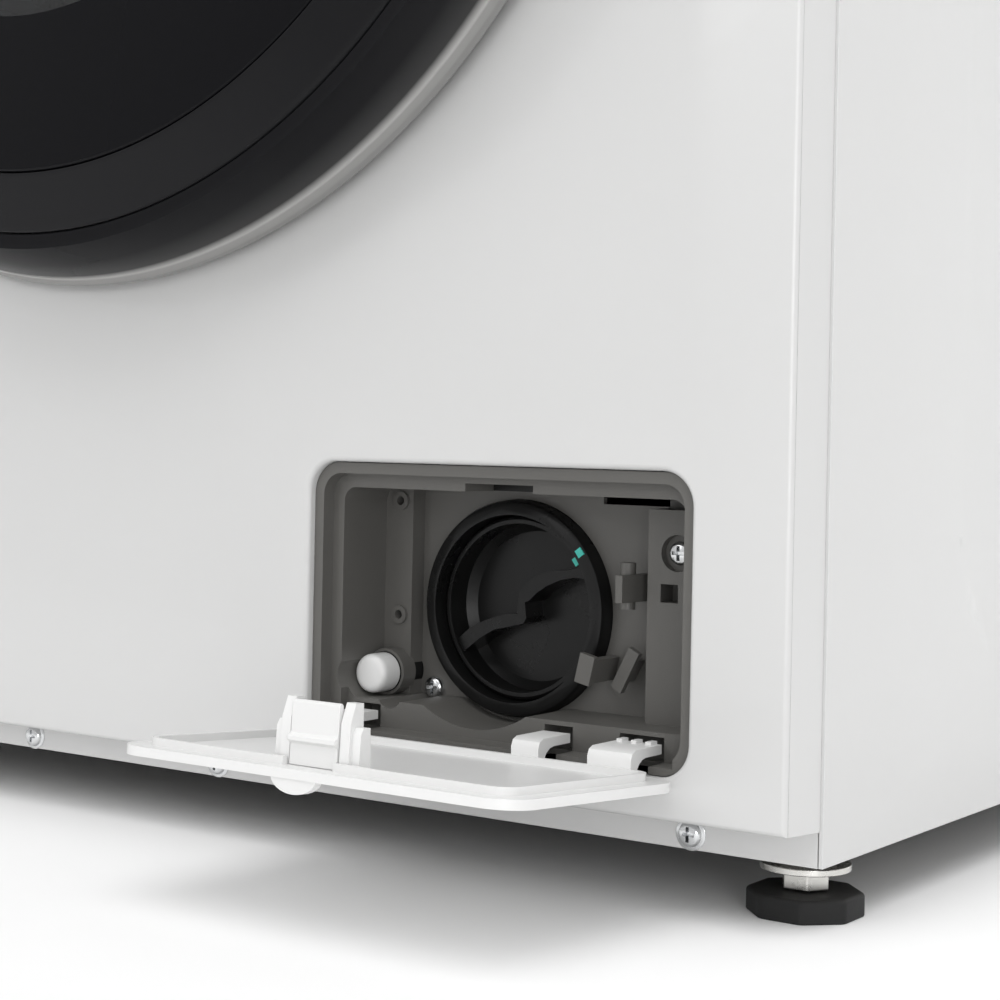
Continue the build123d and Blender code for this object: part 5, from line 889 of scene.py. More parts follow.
def lettering(name, marks, height):
    """Printed numbers and words on the control strip, facing forward; marks are (text, x, y, z, size)."""
    made = []
    for text, x, y, z, size in marks:
        curve = bpy.data.curves.new("mark", "FONT")
        curve.body = text
        curve.size = size / 1000
        curve.align_x = "CENTER"
        curve.align_y = "CENTER"
        curve.extrude = height / 2000
        curve.resolution_u = 3
        holder = bpy.data.objects.new("mark", curve)
        bpy.context.scene.collection.objects.link(holder)
        ready = holder.evaluated_get(bpy.context.evaluated_depsgraph_get())
        mesh = bpy.data.meshes.new_from_object(ready)
        upright = Matrix.Rotation(math.pi / 2, 4, "X")
        mesh.transform(Matrix.Translation(at(x, y - height / 2, z)) @ upright)
        made.append(mesh)
        bpy.data.objects.remove(holder)
        bpy.data.curves.remove(curve)
    return merged(name, made, weld=1e-7)


# Repeated pieces

TREES = {}


def repeat_tree():
    """Sets one shape on every point of a mesh, turned by the point's own facing."""
    if "repeat" in TREES:
        return TREES["repeat"]
    tree = bpy.data.node_groups.new("Repeat on points", "GeometryNodeTree")
    tree.interface.new_socket("Geometry", in_out="INPUT", socket_type="NodeSocketGeometry")
    tree.interface.new_socket("Shape", in_out="INPUT", socket_type="NodeSocketObject")
    size = tree.interface.new_socket("Size", in_out="INPUT", socket_type="NodeSocketFloat")
    size.default_value = 1.0
    tree.interface.new_socket("Finish", in_out="INPUT", socket_type="NodeSocketMaterial")
    tree.interface.new_socket("Geometry", in_out="OUTPUT", socket_type="NodeSocketGeometry")
    entry = tree.nodes.new("NodeGroupInput")
    end = tree.nodes.new("NodeGroupOutput")
    shape = tree.nodes.new("GeometryNodeObjectInfo")
    facing = new_node(tree, "GeometryNodeInputNamedAttribute", {"Name": "facing"}, data_type="FLOAT_VECTOR")
    turn = tree.nodes.new("FunctionNodeEulerToRotation")
    place = tree.nodes.new("GeometryNodeInstanceOnPoints")
    real = tree.nodes.new("GeometryNodeRealizeInstances")
    paint = tree.nodes.new("GeometryNodeSetMaterial")
    join(tree, entry, "Shape", shape, "Object")
    join(tree, facing, "Attribute", turn, "Euler")
    join(tree, entry, "Geometry", place, "Points")
    join(tree, shape, "Geometry", place, "Instance")
    join(tree, turn, "Rotation", place, "Rotation")
    join(tree, entry, "Size", place, "Scale")
    join(tree, place, "Instances", real, "Geometry")
    join(tree, real, "Geometry", paint, "Geometry")
    join(tree, entry, "Finish", paint, "Material")
    join(tree, paint, "Geometry", end, "Geometry")
    TREES["repeat"] = tree
    return tree


def repeat(name, shape, places, body, slot, material=None, size=1.0, angle=35.0):
    """One piece made of the same shape set at many places; places are (point, facing)."""
    finish = material or finish_for(slot)
    points = bpy.data.meshes.new(name + "_points")
    points.from_pydata([tuple(point) for point, _ in places], [], [])
    facing = points.attributes.new("facing", "FLOAT_VECTOR", "POINT")
    facing.data.foreach_set("vector", [value for _, turn in places for value in turn])
    pattern = bpy.data.objects.new(name + "_shape", shape)
    holder = bpy.data.objects.new(name + "_points", points)
    bpy.context.scene.collection.objects.link(holder)
    tree = repeat_tree()
    setter = holder.modifiers.new("Repeat", "NODES")
    setter.node_group = tree
    values = {"Shape": pattern, "Size": size, "Finish": finish}
    for socket in tree.interface.items_tree:
        if socket.in_out == "INPUT" and socket.name in values:
            setter[socket.identifier] = values[socket.name]
    ready = holder.evaluated_get(bpy.context.evaluated_depsgraph_get())
    mesh = bpy.data.meshes.new_from_object(ready)
    holder.modifiers.remove(setter)
    bpy.data.objects.remove(holder)
    bpy.data.objects.remove(pattern)
    if "facing" in mesh.attributes:
        mesh.attributes.remove(mesh.attributes["facing"])
    mesh.name = name
    return keep(name, mesh, body, slot, finish, angle=angle)


FORWARD = (math.pi / 2, 0.0, 0.0)
BACKWARD = (-math.pi / 2, 0.0, 0.0)


def cross_head(radius, height, flange=0.0):
    """A pan head with a cross recess, standing on its own origin and facing up; sizes in metres."""
    form = bmesh.new()
    steps = 24
    profile = [
        (radius * 0.97, 0.0), (radius, height * 0.3), (radius * 0.93, height * 0.68),
        (radius * 0.74, height * 0.93),
    ]
    if flange:
        profile = [
            (flange, 0.0), (flange, height * 0.16), (flange * 0.94, height * 0.24),
            (radius * 1.04, height * 0.30), (radius, height * 0.48), (radius * 0.90, height * 0.78),
            (radius * 0.72, height * 0.95),
        ]
    rings = []
    for reach, rise in profile:
        rings.append([form.verts.new((x, y, rise)) for x, y in circle(reach, steps)])
    stitch(form, rings, closed=False)
    wide, slim = radius * 0.60, radius * 0.15
    cross = [
        (wide, -slim), (wide, slim), (slim, slim), (slim, wide), (-slim, wide), (-slim, slim),
        (-wide, slim), (-wide, -slim), (-slim, -slim), (-slim, -wide), (slim, -wide), (slim, -slim),
    ]
    corners = len(cross)
    top = [form.verts.new((x, y, height)) for x, y in cross]
    deep = [form.verts.new((x * 0.45, y * 0.7, height * 0.25)) for x, y in cross]
    rim = [form.edges.get((rings[-1][i], rings[-1][(i + 1) % steps])) for i in range(steps)]
    edge = [form.edges.new((top[i], top[(i + 1) % corners])) for i in range(corners)]
    bmesh.ops.triangle_fill(form, use_beauty=True, use_dissolve=False, edges=rim + edge)
    inside = [f for f in form.faces if all(v in top for v in f.verts)]
    bmesh.ops.delete(form, geom=inside, context="FACES_ONLY")
    for index in range(corners):
        after = (index + 1) % corners
        form.faces.new((top[index], top[after], deep[after], deep[index]))
    form.faces.new(deep)
    form.faces.new(rings[0])
    bmesh.ops.recalc_face_normals(form, faces=form.faces)
    return mesh_from_bmesh("cross_head", form)


# Operators


class WASHER_OT_stage(bpy.types.Operator):
    """Makes the floor, the soft lights and the camera"""

    bl_idname = "washer.stage"
    bl_label = "Stage"

    def execute(self, context):
        settings = washer().stage
        front, half_width, bend_start, bend, top = -8.0, 8.0, 1.6, 0.8, 3.5
        rows = [(front, 0.0), (bend_start, 0.0)]
        for step in range(1, 13):
            angle = math.pi / 2 * step / 12
            rows.append((bend_start + bend * math.sin(angle), bend * (1 - math.cos(angle))))
        rows.append((bend_start + bend, top))
        points = []
        for y, z in rows:
            points += [(-half_width, y, z), (half_width, y, z)]
        faces = [(2 * i, 2 * i + 1, 2 * i + 3, 2 * i + 2) for i in range(len(rows) - 1)]
        sweep = mesh_from("studio_floor", points, faces)
        sweep.shade_smooth()
        sweep.materials.append(
            coated("studio_paper", settings.floor, 0.6, grain=60.0, depth=0.0, cloud=0.8, shift=0.01)
        )
        floor = bpy.data.objects.new("studio_floor", sweep)
        context.scene.collection.objects.link(floor)
        self.lights(context, settings)
        self.camera(context, settings)
        return {"FINISHED"}

    def lights(self, context, settings):
        """A pale room and four soft lights."""
        world = bpy.data.worlds.new("studio_world")
        world.use_nodes = True
        tree = world.node_tree
        sky = tree.nodes["Background"]
        sky.inputs["Color"].default_value = (1, 1, 1, 1)
        where = tree.nodes.new("ShaderNodeTexCoord")
        parts = tree.nodes.new("ShaderNodeSeparateXYZ")
        limits = {"From Min": 0.0, "From Max": 0.8, "To Min": settings.horizon, "To Max": settings.zenith}
        rise = new_node(tree, "ShaderNodeMapRange", limits)
        join(tree, where, "Generated", parts, "Vector")
        join(tree, parts, "Z", rise, "Value")
        join(tree, rise, "Result", sky, "Strength")
        context.scene.world = world
        lamps = [
            ("key_light", (-1.0, -2.7, 1.6), (0.15, -0.2, 0.2), 1.5, settings.key_power),
            ("fill_light", (1.75, -1.8, 0.4), (0.18, -0.2, 0.1), 0.9, settings.fill_power),
            ("top_light", (1.2, -2.3, 6.0), (0.1, -0.3, 0.0), 4.8, settings.top_power),
            ("back_light", (-0.9, 1.5, 2.4), (0.0, 0.3, 0.4), 1.2, settings.fill_power),
        ]
        for name, place, target, size, power in lamps:
            data = bpy.data.lights.new(name, "AREA")
            data.shape = "SQUARE"
            data.size = size
            data.energy = power
            lamp = bpy.data.objects.new(name, data)
            lamp.location = place
            aim = Vector(target) - Vector(place)
            lamp.rotation_euler = aim.to_track_quat("-Z", "Y").to_euler()
            context.scene.collection.objects.link(lamp)
        context.scene.view_settings.view_transform = "Standard"

    def camera(self, context, settings):
        """The camera at the photograph's place and angle."""
        data = bpy.data.cameras.new("photo_camera")
        data.lens = settings.lens
        data.sensor_width = 36.0
        data.shift_y = -0.0629
        data.clip_start = 0.01
        data.clip_end = 50.0
        camera = bpy.data.objects.new("photo_camera", data)
        back = Vector((math.sin(settings.turn), -math.cos(settings.turn), 0))
        side = Vector((math.cos(settings.turn), math.sin(settings.turn), 0))
        axes = Matrix((side, (0, 0, 1), back)).transposed().to_4x4()
        place = Matrix.Translation(at(564.3, -550.6, 148.5))
        camera.matrix_world = place @ axes @ Matrix.Rotation(settings.roll, 4, "Z")
        context.scene.collection.objects.link(camera)
        context.scene.camera = camera


class WASHER_OT_cabinet(bpy.types.Operator):
    """Finishes the panels, top, base and back"""

    bl_idname = "washer.cabinet"
    bl_label = "Cabinet"

    def execute(self, context):
        for node in ("front_panel", "kick_rail"):
            soften(node, 0.0003)
        for node in ("side_panel_left", "side_panel_right"):
            self.side_panel(node)
        # The worktop's colour is set darker than the panels' white as painted shade against the strong top
        # light.
        laminate = coated(
            "worktop_laminate", washer().finish.worktop, 0.40, grain=700.0, depth=0.00002, cloud=6.0,
            shift=0.015,
        )
        soften("top_cover", 0.0012, steps=3, material=laminate)
        for node in (
            "rear_panel", "rear_service_cover", "spring_brace", "transit_plugs", "cable_gland", "base_pan",
        ):
            soften(node, 0.0004)
        self.inlets()
        self.screws()
        return {"FINISHED"}

    def side_panel(self, node):
        """A side panel whose pressed recess has short, rounded shoulders."""
        form = merged_copy(node)
        low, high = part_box(node)
        middle, half = (low + high) / 2, (high - low) / 2
        skin = max(abs(low.x), abs(high.x))
        sheet, depth, corner = 0.0015, 0.003, 0.056
        cad_shoulder, shoulder = 0.028, 0.012
        core_y, core_z = half.y - 0.156, half.z - 0.104
        for vert in form.verts:
            away = vert.co - middle
            out_y = away.y - max(-core_y, min(core_y, away.y))
            out_z = away.z - max(-core_z, min(core_z, away.z))
            out = Vector((0, out_y, out_z))
            for face in (skin, skin - sheet):
                drop = (face - abs(vert.co.x)) / depth
                if 0.01 < drop < 1.01 and abs(out.length - corner + cad_shoulder * drop) < 0.0008:
                    vert.co += out * ((corner - shoulder * drop) / out.length - 1)
                    break
        least, most = math.radians(8.0), math.radians(25.0)
        bends = [edge for edge in form.edges if len(edge.link_faces) == 2]
        soft = [edge for edge in bends if least < edge.calc_face_angle(0.0) < most]
        bmesh.ops.bevel(
            form, geom=soft, offset=0.003, offset_type="OFFSET", segments=3, profile=0.5, affect="EDGES",
            clamp_overlap=True,
        )
        stand_in(node, form, 0.0003)

    def inlets(self):
        """The inlet valve, with threads on both of its ends."""
        form = merged_copy("inlet_valve")
        crest, root, bore, pitch = 0.0132, 0.01235, 0.0120, 0.0018
        for x in INLETS:
            pinch(form, at(0, 541.5, 0).y, at(0, 560, 0).y, 1, at(x, 0, INLET_Z), crest, 0.0123)
        stand_in("inlet_valve", form, 0.0003)
        low, high = at(0, 542.3, 0).y, at(0, 557.2, 0).y
        for name, x in zip(("inlet_thread_cold", "inlet_thread_hot"), INLETS):
            sleeve = thread(name, at(x, 0, INLET_Z), 1, low, high, crest, root, bore, pitch, 48)
            keep(name, sleeve, "cabinet", SLOT_OF["inlet_valve"])

    def screws(self):
        """Cross-headed screws of the kick rail, the recess and the rear cover."""
        head = washer().detail.screw_head
        height, kick_flange, cover_flange = 0.0026, 0.0053, 0.0052
        kick = [(at(x, 0, 25), FORWARD) for x in KICK_SCREWS]
        cover = [(at(x, 543, z), BACKWARD) for x in (-178, 178) for z in (260, 410, 560)]
        recess = [(at(132.5, 24, 58.5), FORWARD), (at(238, 15, 112), FORWARD)]
        shape = cross_head(head, height, kick_flange)
        piece = repeat("kick_screw_heads", shape, kick, "cabinet", "screw_chrome")
        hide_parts("casing_screws")
        repeat("recess_screw_heads", cross_head(head, height), recess, "cabinet", "screw_chrome")
        shape = cross_head(head, height, cover_flange)
        repeat("cover_screw_heads", shape, cover, "cabinet", "screw_chrome")


class WASHER_OT_feet(bpy.types.Operator):
    """Finishes the levelling feet and their lock nuts"""

    bl_idname = "washer.feet"
    bl_label = "Levelling feet"

    def execute(self, context):
        pitch = washer().detail.thread_pitch
        low, high = 0.0076, 0.0418
        crest, root, bore = 0.0040, 0.00345, 0.0032
        for node in ("foot_front_left", "foot_front_right", "foot_rear_left", "foot_rear_right"):
            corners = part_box(node)
            centre = (corners[0] + corners[1]) / 2
            form = merged_copy(node)
            pinch(form, 0.0074, 0.05, 2, centre, crest, 0.0033)
            stand_in(node, form, 0.0005, ending="_pad")
            name = node + "_stud"
            stud = thread(name, centre, 2, low, high, crest, root, bore, pitch, 24)
            keep(name, stud, BODY_OF[node], "zinc_plate")
        soften("foot_lock_nuts", 0.0004)
        return {"FINISHED"}


class WASHER_OT_service(bpy.types.Operator):
    """Finishes the service recess, its flap, the filter and the drain plug"""

    bl_idname = "washer.service"
    bl_label = "Service recess"

    def execute(self, context):
        edge = washer().detail.edge
        soften("recess_housing", edge)
        self.flap(edge)
        soften("flap_latch", edge)
        self.plug()
        soften("filter_cap", 0.0007, steps=3)
        soften("drain_pump", 0.0006, material=finish_for("black_plastic"))
        soften("pump_impeller", edge)
        self.seal()
        self.marks()
        self.catch_lining()
        self.drain_line()
        return {"FINISHED"}

    def flap(self, edge):
        """The flap with its soft edges and a slim thumb lip."""
        form = merged_copy("flap_panel")
        pivot = at(*FLAP_PIVOT)
        there = Matrix.Rotation(math.radians(86.0), 4, "X")
        face, lip_start, slimmer = -0.0025, 0.085, 0.6
        for vert in form.verts:
            place = there.inverted() @ (vert.co - pivot)
            proud = face - place.y
            if proud > 0.00002 and place.z > lip_start:
                place.y = face - proud * slimmer
                vert.co = pivot + there @ place
        stand_in("flap_panel", form, edge, 3)

    def plug(self):
        """The drain plug: a white knob on a black stem."""
        radius, front, neck, back = 6.9, 1.5, 10.8, 34
        knob = [(0, front, 0), (radius, front, 2.8), (radius, neck, 0.3), (0, neck, 0)]
        stem = [(0, neck, 0), (radius, neck, 0.3), (radius, back, 0.5), (0, back, 0)]
        body = BODY_OF["drain_plug"]
        slot = SLOT_OF["drain_plug"]
        piece = turned("drain_plug_knob", fillet_path(knob, 0.3, 6), *PLUG, 64, body, slot)
        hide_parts("drain_plug")
        turned("drain_plug_stem", fillet_path(stem, 0.3), *PLUG, 64, body, "black_plastic")

    def catch_lining(self):
        """A thin dark sheet at the back of the catch slot, painted shade where the slot opens into the dark
        cabinet.
        """
        outline = [(166.6, 130.1), (193.7, 130.1), (193.7, 132.6), (166.6, 132.6)]
        keep("catch_lining", prism("catch_lining", outline, 9.1, 9.6, 0.1), "cabinet", "black_plastic")

    def seal(self):
        """The round ring seal in the cap's groove."""
        outline = []
        for step in range(16):
            angle = 2 * math.pi * step / 16
            outline.append((30.4 + 1.75 * math.cos(angle), 42.45 + 2.3 * math.sin(angle)))
        slot = SLOT_OF["filter_seal"]
        piece = turned("filter_seal_ring", outline, *FILTER, 96, "seal", slot)
        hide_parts("filter_seal")

    def marks(self):
        """The two lock marks, one on the cap and one on the mouth ring."""
        paint = coated(
            "lock_mark", washer().finish.mark, 0.45, grain=1500.0, depth=0.0, cloud=200.0, shift=0.06
        )
        angle = math.radians(36.6)
        c, s = math.cos(angle), math.sin(angle)
        corners = ((-1.4, -1.3), (1.4, -1.3), (1.4, 1.3), (-1.4, 1.3))
        for name, body, reach, y in (
            ("lock_mark_cap", "cap", 29.5, 22.5), ("lock_mark_ring", "cabinet", 34.9, 17.5),
        ):
            x, z = FILTER[0] + reach * c, FILTER[1] + reach * s
            outline = []
            for across, along in corners:
                outline.append((x + along * c - across * s, z + along * s + across * c))
            keep(name, prism(name, outline, y - 0.12, y + 0.5), body, "black_plastic", paint)

    def drain_line(self):
        """The ribbed hose from the pump to the spigot at the back."""
        x, z = SPIGOT
        slot = SLOT_OF["outlet_hose"]
        corners = [
            at(192.7, 123, 138.7), at(192.7, 123, 200.7), at(x, 123, 200.7), at(x, 489, 200.7),
            at(x, 489, z), at(x, 541.5, z),
        ]
        spacing = 0.0014
        path = resample(bent_path(corners, (0.030, 0.030, 0.040, 0.040), 12), spacing)
        size = corrugated(0.0110, 0.0013, spacing, 0.0056, len(path) - 1, 14)
        hose = keep("drain_line", tube("drain_line", path, size, 20, bore=0.0085), "cabinet", slot)
        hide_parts("outlet_hose")
        outline = [(16, 541.5), (16, 544.0), (15.5, 544.5), (10.0, 544.5)]
        for groove, barb in ((548, 550), (553, 556), (559, 562)):
            outline += [(9.7, groove), (10.5, barb)]
        outline += [(9.7, 565), (9.6, 569.0), (9.2, 569.5), (8.5, 569.5), (8.5, 541.5)]
        turned("drain_spigot", outline, x, z, 48, "cabinet", slot)


class WASHER_OT_door(bpy.types.Operator):
    """Finishes the door with its ring, window, bowl, frame, hinge and hook"""

    bl_idname = "washer.door"
    bl_label = "Door"

    def execute(self, context):
        for node in ("door_frame", "door_hinge_arm", "hinge_bracket", "door_hook", "door_lock"):
            soften(node, 0.0003)
        self.ring()
        self.window()
        self.bowl()
        return {"FINISHED"}

    def ring(self):
        """The swept-back ring, finely turned, with the hinge arm's gap and the hand grip cut from it."""
        outline = [(245.6, -19), (245.6, -20.5), (245.6, -22)]
        outline += arc_through((245.6, -22.5), (244.7, -24.2), (243.6, -25), 8)
        outline += arc_through((243.6, -25), (240.0, -37), (234.1, -48), 28)[1:]
        outline += [
            (233.6, -48), (229.0, -48), (228.6, -47.6), (228.6, -44.5), (232.1, -44.5), (239.1, -28),
            (242.1, -23), (242.1, -19),
        ]
        whole = turn_outline("door_ring_soft", outline, 0, DOOR_Z, 288)
        gap = prism("arm_gap", self.upright_box(-256, -212.1, 19.8), -34.3, -18)
        grip = prism("hand_grip", fillet_path(self.upright_box(235.6, 265.6, 55), 10, 8), -33, -18)
        mesh = cut_away(whole, [gap, grip])
        piece = keep("door_ring_soft", mesh, "door", SLOT_OF["door_ring"], angle=30.0)
        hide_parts("door_ring")

    def upright_box(self, left, right, half):
        """The outline of a cut through the ring, level with the door's middle."""
        low, high = DOOR_Z - half, DOOR_Z + half
        return [(left, low), (right, low), (right, high), (left, high)]

    def window(self):
        """The smoked pane with its black print, and the glossy band round it beyond a groove."""
        band = fillet_path(
            [(231.8, -41.2, 0.3), (231.8, -44.2, 0.3), (228.3, -44.2, 0), (228.3, -48.3, 1.4),
             (225.6, -48.75, 0), (208.2, -51.65, 0), (206.7, -51.9, 0.5), (206.2, -50.6, 0),
             (206.2, -47.9, 0)], 0.3,
        )
        gloss = coated(
            "window_band", (0.010, 0.010, 0.011), 0.14, grain=300.0, depth=0.0, cloud=6.0, shift=0.1,
            rough_shift=0.02, specular=0.10,
        )
        slot = SLOT_OF["door_window"]
        piece = turned("window_band", band, 0, DOOR_Z, 256, "door", slot, gloss, 25.0)
        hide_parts("door_window")
        printed = [(206.0, -47.95), (206.0, -51.1), (205.7, -51.55)]
        printed += [self.pane_front(r) for r in (205.4, 204.8, 202.5, 192, 171, 149)]
        printed += [self.pane_back(r) for r in (149, 168, 188, 202)]
        ink = coated(
            "window_print", (0.004, 0.004, 0.005), 0.07, grain=300.0, depth=0.0, cloud=5.0, shift=0.1,
            rough_shift=0.02, specular=0.10,
        )
        turned("window_print", printed, 0, DOOR_Z, 256, "door", slot, ink, 40.0)
        steps = (149, 130, 110, 90, 68.7)
        pane = [self.pane_front(r) for r in steps]
        pane += [(30, -55.0), (0, -55.0), (0, -52.0), (30, -52.0)]
        pane += [self.pane_back(r) for r in reversed(steps)]
        turned("window_pane", pane, 0, DOOR_Z, 256, "door", slot, angle=40.0)

    def pane_front(self, reach):
        """The crowned front of the pane at a distance from its middle."""
        return reach, -51.7 - 3.3 * (1 - ((reach - 68.7) / 136.7) ** 2)

    def pane_back(self, reach):
        """The hollow back of the pane at a distance from its middle."""
        return reach, -52.0 + 3.0 * ((reach - 68.7) / 133.3) ** 2

    def bowl(self):
        """The pressed glass bowl."""
        outline = fillet_path(
            [(145, -27.3, 1.5), (165, -27.3, 1), (165, -23.3, 1), (150.5, -23.3, 1.5), (146, 16.6, 60),
             (120.5, 83.1, 20), (101.5, 100.4, 14), (75.5, 106.5, 20), (0, 110, 0), (0, 104.5, 0),
             (74.5, 101.0, 20), (97.5, 95.8, 14), (115, 81.1, 20), (140.5, 16.6, 60)], 1.0, 5,
        )
        slot = SLOT_OF["door_bowl"]
        piece = turned("glass_bowl", outline, 0, DOOR_Z, 160, "door", slot, angle=40.0)
        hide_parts("door_bowl")


class WASHER_OT_wash_group(bpy.types.Operator):
    """Finishes the boot, tub, drum, drive and suspension"""

    bl_idname = "washer.wash_group"
    bl_label = "Tub, drum and drive"

    def execute(self, context):
        for node in ("tub_front", "tub_rear", "drum_spider", "drum_pulley", "drive_motor"):
            soften(node, 0.0008)
        soften("counterweights", 0.003, steps=3)
        for node in ("drum_bearings", "motor_pulley", "damper_cylinders", "damper_rods"):
            soften(node, 0.0004)
        soften("drum_lifters", 0.0012, steps=3)
        self.drum()
        self.boot()
        self.belt()
        self.springs()
        self.hoses()
        return {"FINISHED"}

    def drum(self):
        """The drum's sheet with its rolled mouth, and dark discs of painted shade where the holes in its
        wall and back are.
        """
        outline = fillet_path(
            [(168, 64.5, 0.7), (169.5, 64.5, 0.7), (169.5, 70.5, 2), (240, 70.5, 5), (240, 372, 4),
             (215, 372, 4), (120, 362, 8), (0, 362, 0), (0, 360.5, 0), (120, 360.5, 8), (215, 370.5, 4),
             (238.5, 370.5, 3), (238.5, 72, 4), (168, 72, 2)], 1.0,
        )
        slot = SLOT_OF["drum_shell"]
        piece = turned("drum_skin", outline, 0, DOOR_Z, 180, "drum", slot, angle=30.0)
        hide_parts("drum_shell")
        # Painted shade: the dark seen through each hole, laid on as a black disc.
        dark = coated(
            "punched_hole", (0.012, 0.012, 0.012), 0.6, grain=900.0, depth=0.0, cloud=90.0, shift=0.2
        )
        repeat("drum_holes", self.hole(), self.wall_places(), "drum", slot, dark)
        back = []
        for ring, count in ((60, 12), (90, 18), (110, 24)):
            for x, z in circle(ring, count, 0, DOOR_Z):
                back.append((at(x, 360.45, z), FORWARD))
        repeat("drum_back_holes", self.hole(), back, "drum", slot, dark)

    def wall_places(self):
        """Staggered places on the drum's wall, clear of the three lifters."""
        detail = washer().detail
        first, last, wall, lifter_half = 92, 350, 238.45, 10
        places = []
        for row in range(detail.hole_rows):
            y = first + (last - first) * row / (detail.hole_rows - 1)
            for column in range(detail.hole_columns):
                angle = 2 * math.pi * (column + 0.5 * (row % 2)) / detail.hole_columns
                if abs((math.degrees(angle) - 90 + 60) % 120 - 60) < lifter_half:
                    continue
                place = at(wall * math.cos(angle), y, DOOR_Z + wall * math.sin(angle))
                places.append((place, (0.0, -math.pi / 2 - angle, 0.0)))
        return places

    def hole(self):
        """A punched hole seen from inside: a low disc, facing up, whose dark colour is painted shade in
        place of an opening.
        """
        form = bmesh.new()
        rings = []
        for rise in (-0.00004, 0.00006):
            rings.append([form.verts.new((x, y, rise)) for x, y in circle(0.0019, 12)])
        stitch(form, rings, closed=False)
        form.faces.new(rings[0])
        form.faces.new(rings[1])
        bmesh.ops.recalc_face_normals(form, faces=form.faces)
        return mesh_from_bmesh("hole", form)

    def boot(self):
        """The rubber bellows, which gives as the tub bounces."""
        outline = fillet_path(
            [(179.7, -15), (179.7, -3.8), (184.2, -3.8), (184.2, 2.2), (180.7, 6.2), (180.7, 18.2),
             (189.3, 26.2), (189.3, 57.7), (185.3, 57.7), (185.3, 29.2), (176.7, 20.2), (176.7, 15.2),
             (167.7, 16.2), (148.2, 11.2), (148.2, 8.7), (166.7, 11.7), (174.7, 9.2), (174.2, -3.8),
             (172.7, -15)], 1.1, 4,
        )
        piece = turned("boot_bellows", outline, 0, DOOR_Z, 180, None, SLOT_OF["door_boot"])
        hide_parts("door_boot")
        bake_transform(piece)

    def belt(self):
        """The ribbed drive belt round both pulleys."""
        large, small = 150.15, 11.15
        reach = Vector(MOTOR) - Vector((0, DOOR_Z))
        heading = math.atan2(reach.y, reach.x)
        lean = math.acos((large - small) / reach.length)
        path = []
        for centre, radius, start, sweep, steps in (
            (Vector((0, DOOR_Z)), large, heading + lean, 2 * (math.pi - lean), 110),
            (Vector(MOTOR), small, heading - lean, 2 * lean, 24),
        ):
            for step in range(steps + 1):
                angle = start + sweep * step / steps
                out = Vector((math.cos(angle), math.sin(angle)))
                path.append((centre + out * radius, out))
        ribs = 5
        front, back = 466.0, 480.0
        section = [(3.5, front + 0.4), (3.1, front), (0.0, front)]
        for rib in range(ribs):
            low = front + (back - front) * rib / ribs
            high = front + (back - front) * (rib + 1) / ribs
            section += [(0.0, low + 0.9), (1.4, (low + high) / 2), (0.0, high - 0.9)]
        section += [(0.0, back), (3.1, back), (3.5, back - 0.4)]
        form = bmesh.new()
        rings = []
        for place, out in path:
            ring = []
            for grow, y in section:
                spot = place + out * grow
                ring.append(form.verts.new(at(spot.x, y, spot.y)))
            rings.append(ring)
        stitch(form, rings, closed=True)
        mesh = mesh_from_bmesh("ribbed_belt", form)
        piece = keep("ribbed_belt", mesh, BODY_OF["drive_belt"], SLOT_OF["drive_belt"])
        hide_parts("drive_belt")

    def springs(self):
        """The two coil springs, drawn out as the tub bounces."""
        low, high, y, radius = 642.6, 785.2, 300, 12
        turns, steps_a_turn = 8, 28
        steps = turns * steps_a_turn
        for name, x in (("spring_left", -200), ("spring_right", 200)):
            points = []
            for step in range(steps + 1):
                angle = 2 * math.pi * turns * step / steps
                z = low + (high - low) * step / steps
                points.append(at(x + radius * math.cos(angle), y + radius * math.sin(angle), z))
            coil = tube(name, points, 0.0025, 10)
            piece = keep(name, coil, None, SLOT_OF["suspension_springs"])
            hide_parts("suspension_springs")
            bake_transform(piece)

    def hoses(self):
        """The sump hose and the hose from the drawer's housing, both ribbed."""
        corners = [at(60, 90, 185.4), at(60, 90, 95.2), at(127.2, 90, 95.2)]
        sump = self.ribbed_hose("sump_hose", bent_path(corners, (0.034,), 14), 10)
        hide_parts("tub_hoses")
        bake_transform(sump)
        spout = self.ribbed_hose("dispenser_hose", [at(-150, 180, 676.9), at(-150, 180, 730.5)], 8)
        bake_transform(spout)

    def ribbed_hose(self, name, points, cuff):
        """A wide ribbed hose along a path, with plain cuffs of so many steps."""
        spacing, radius, depth, pitch, bore = 0.0016, 0.0198, 0.0018, 0.008, 0.0168
        path = resample(points, spacing)
        size = corrugated(radius, depth, spacing, pitch, len(path) - 1, cuff)
        return keep(name, tube(name, path, size, 28, bore), None, SLOT_OF["tub_hoses"])


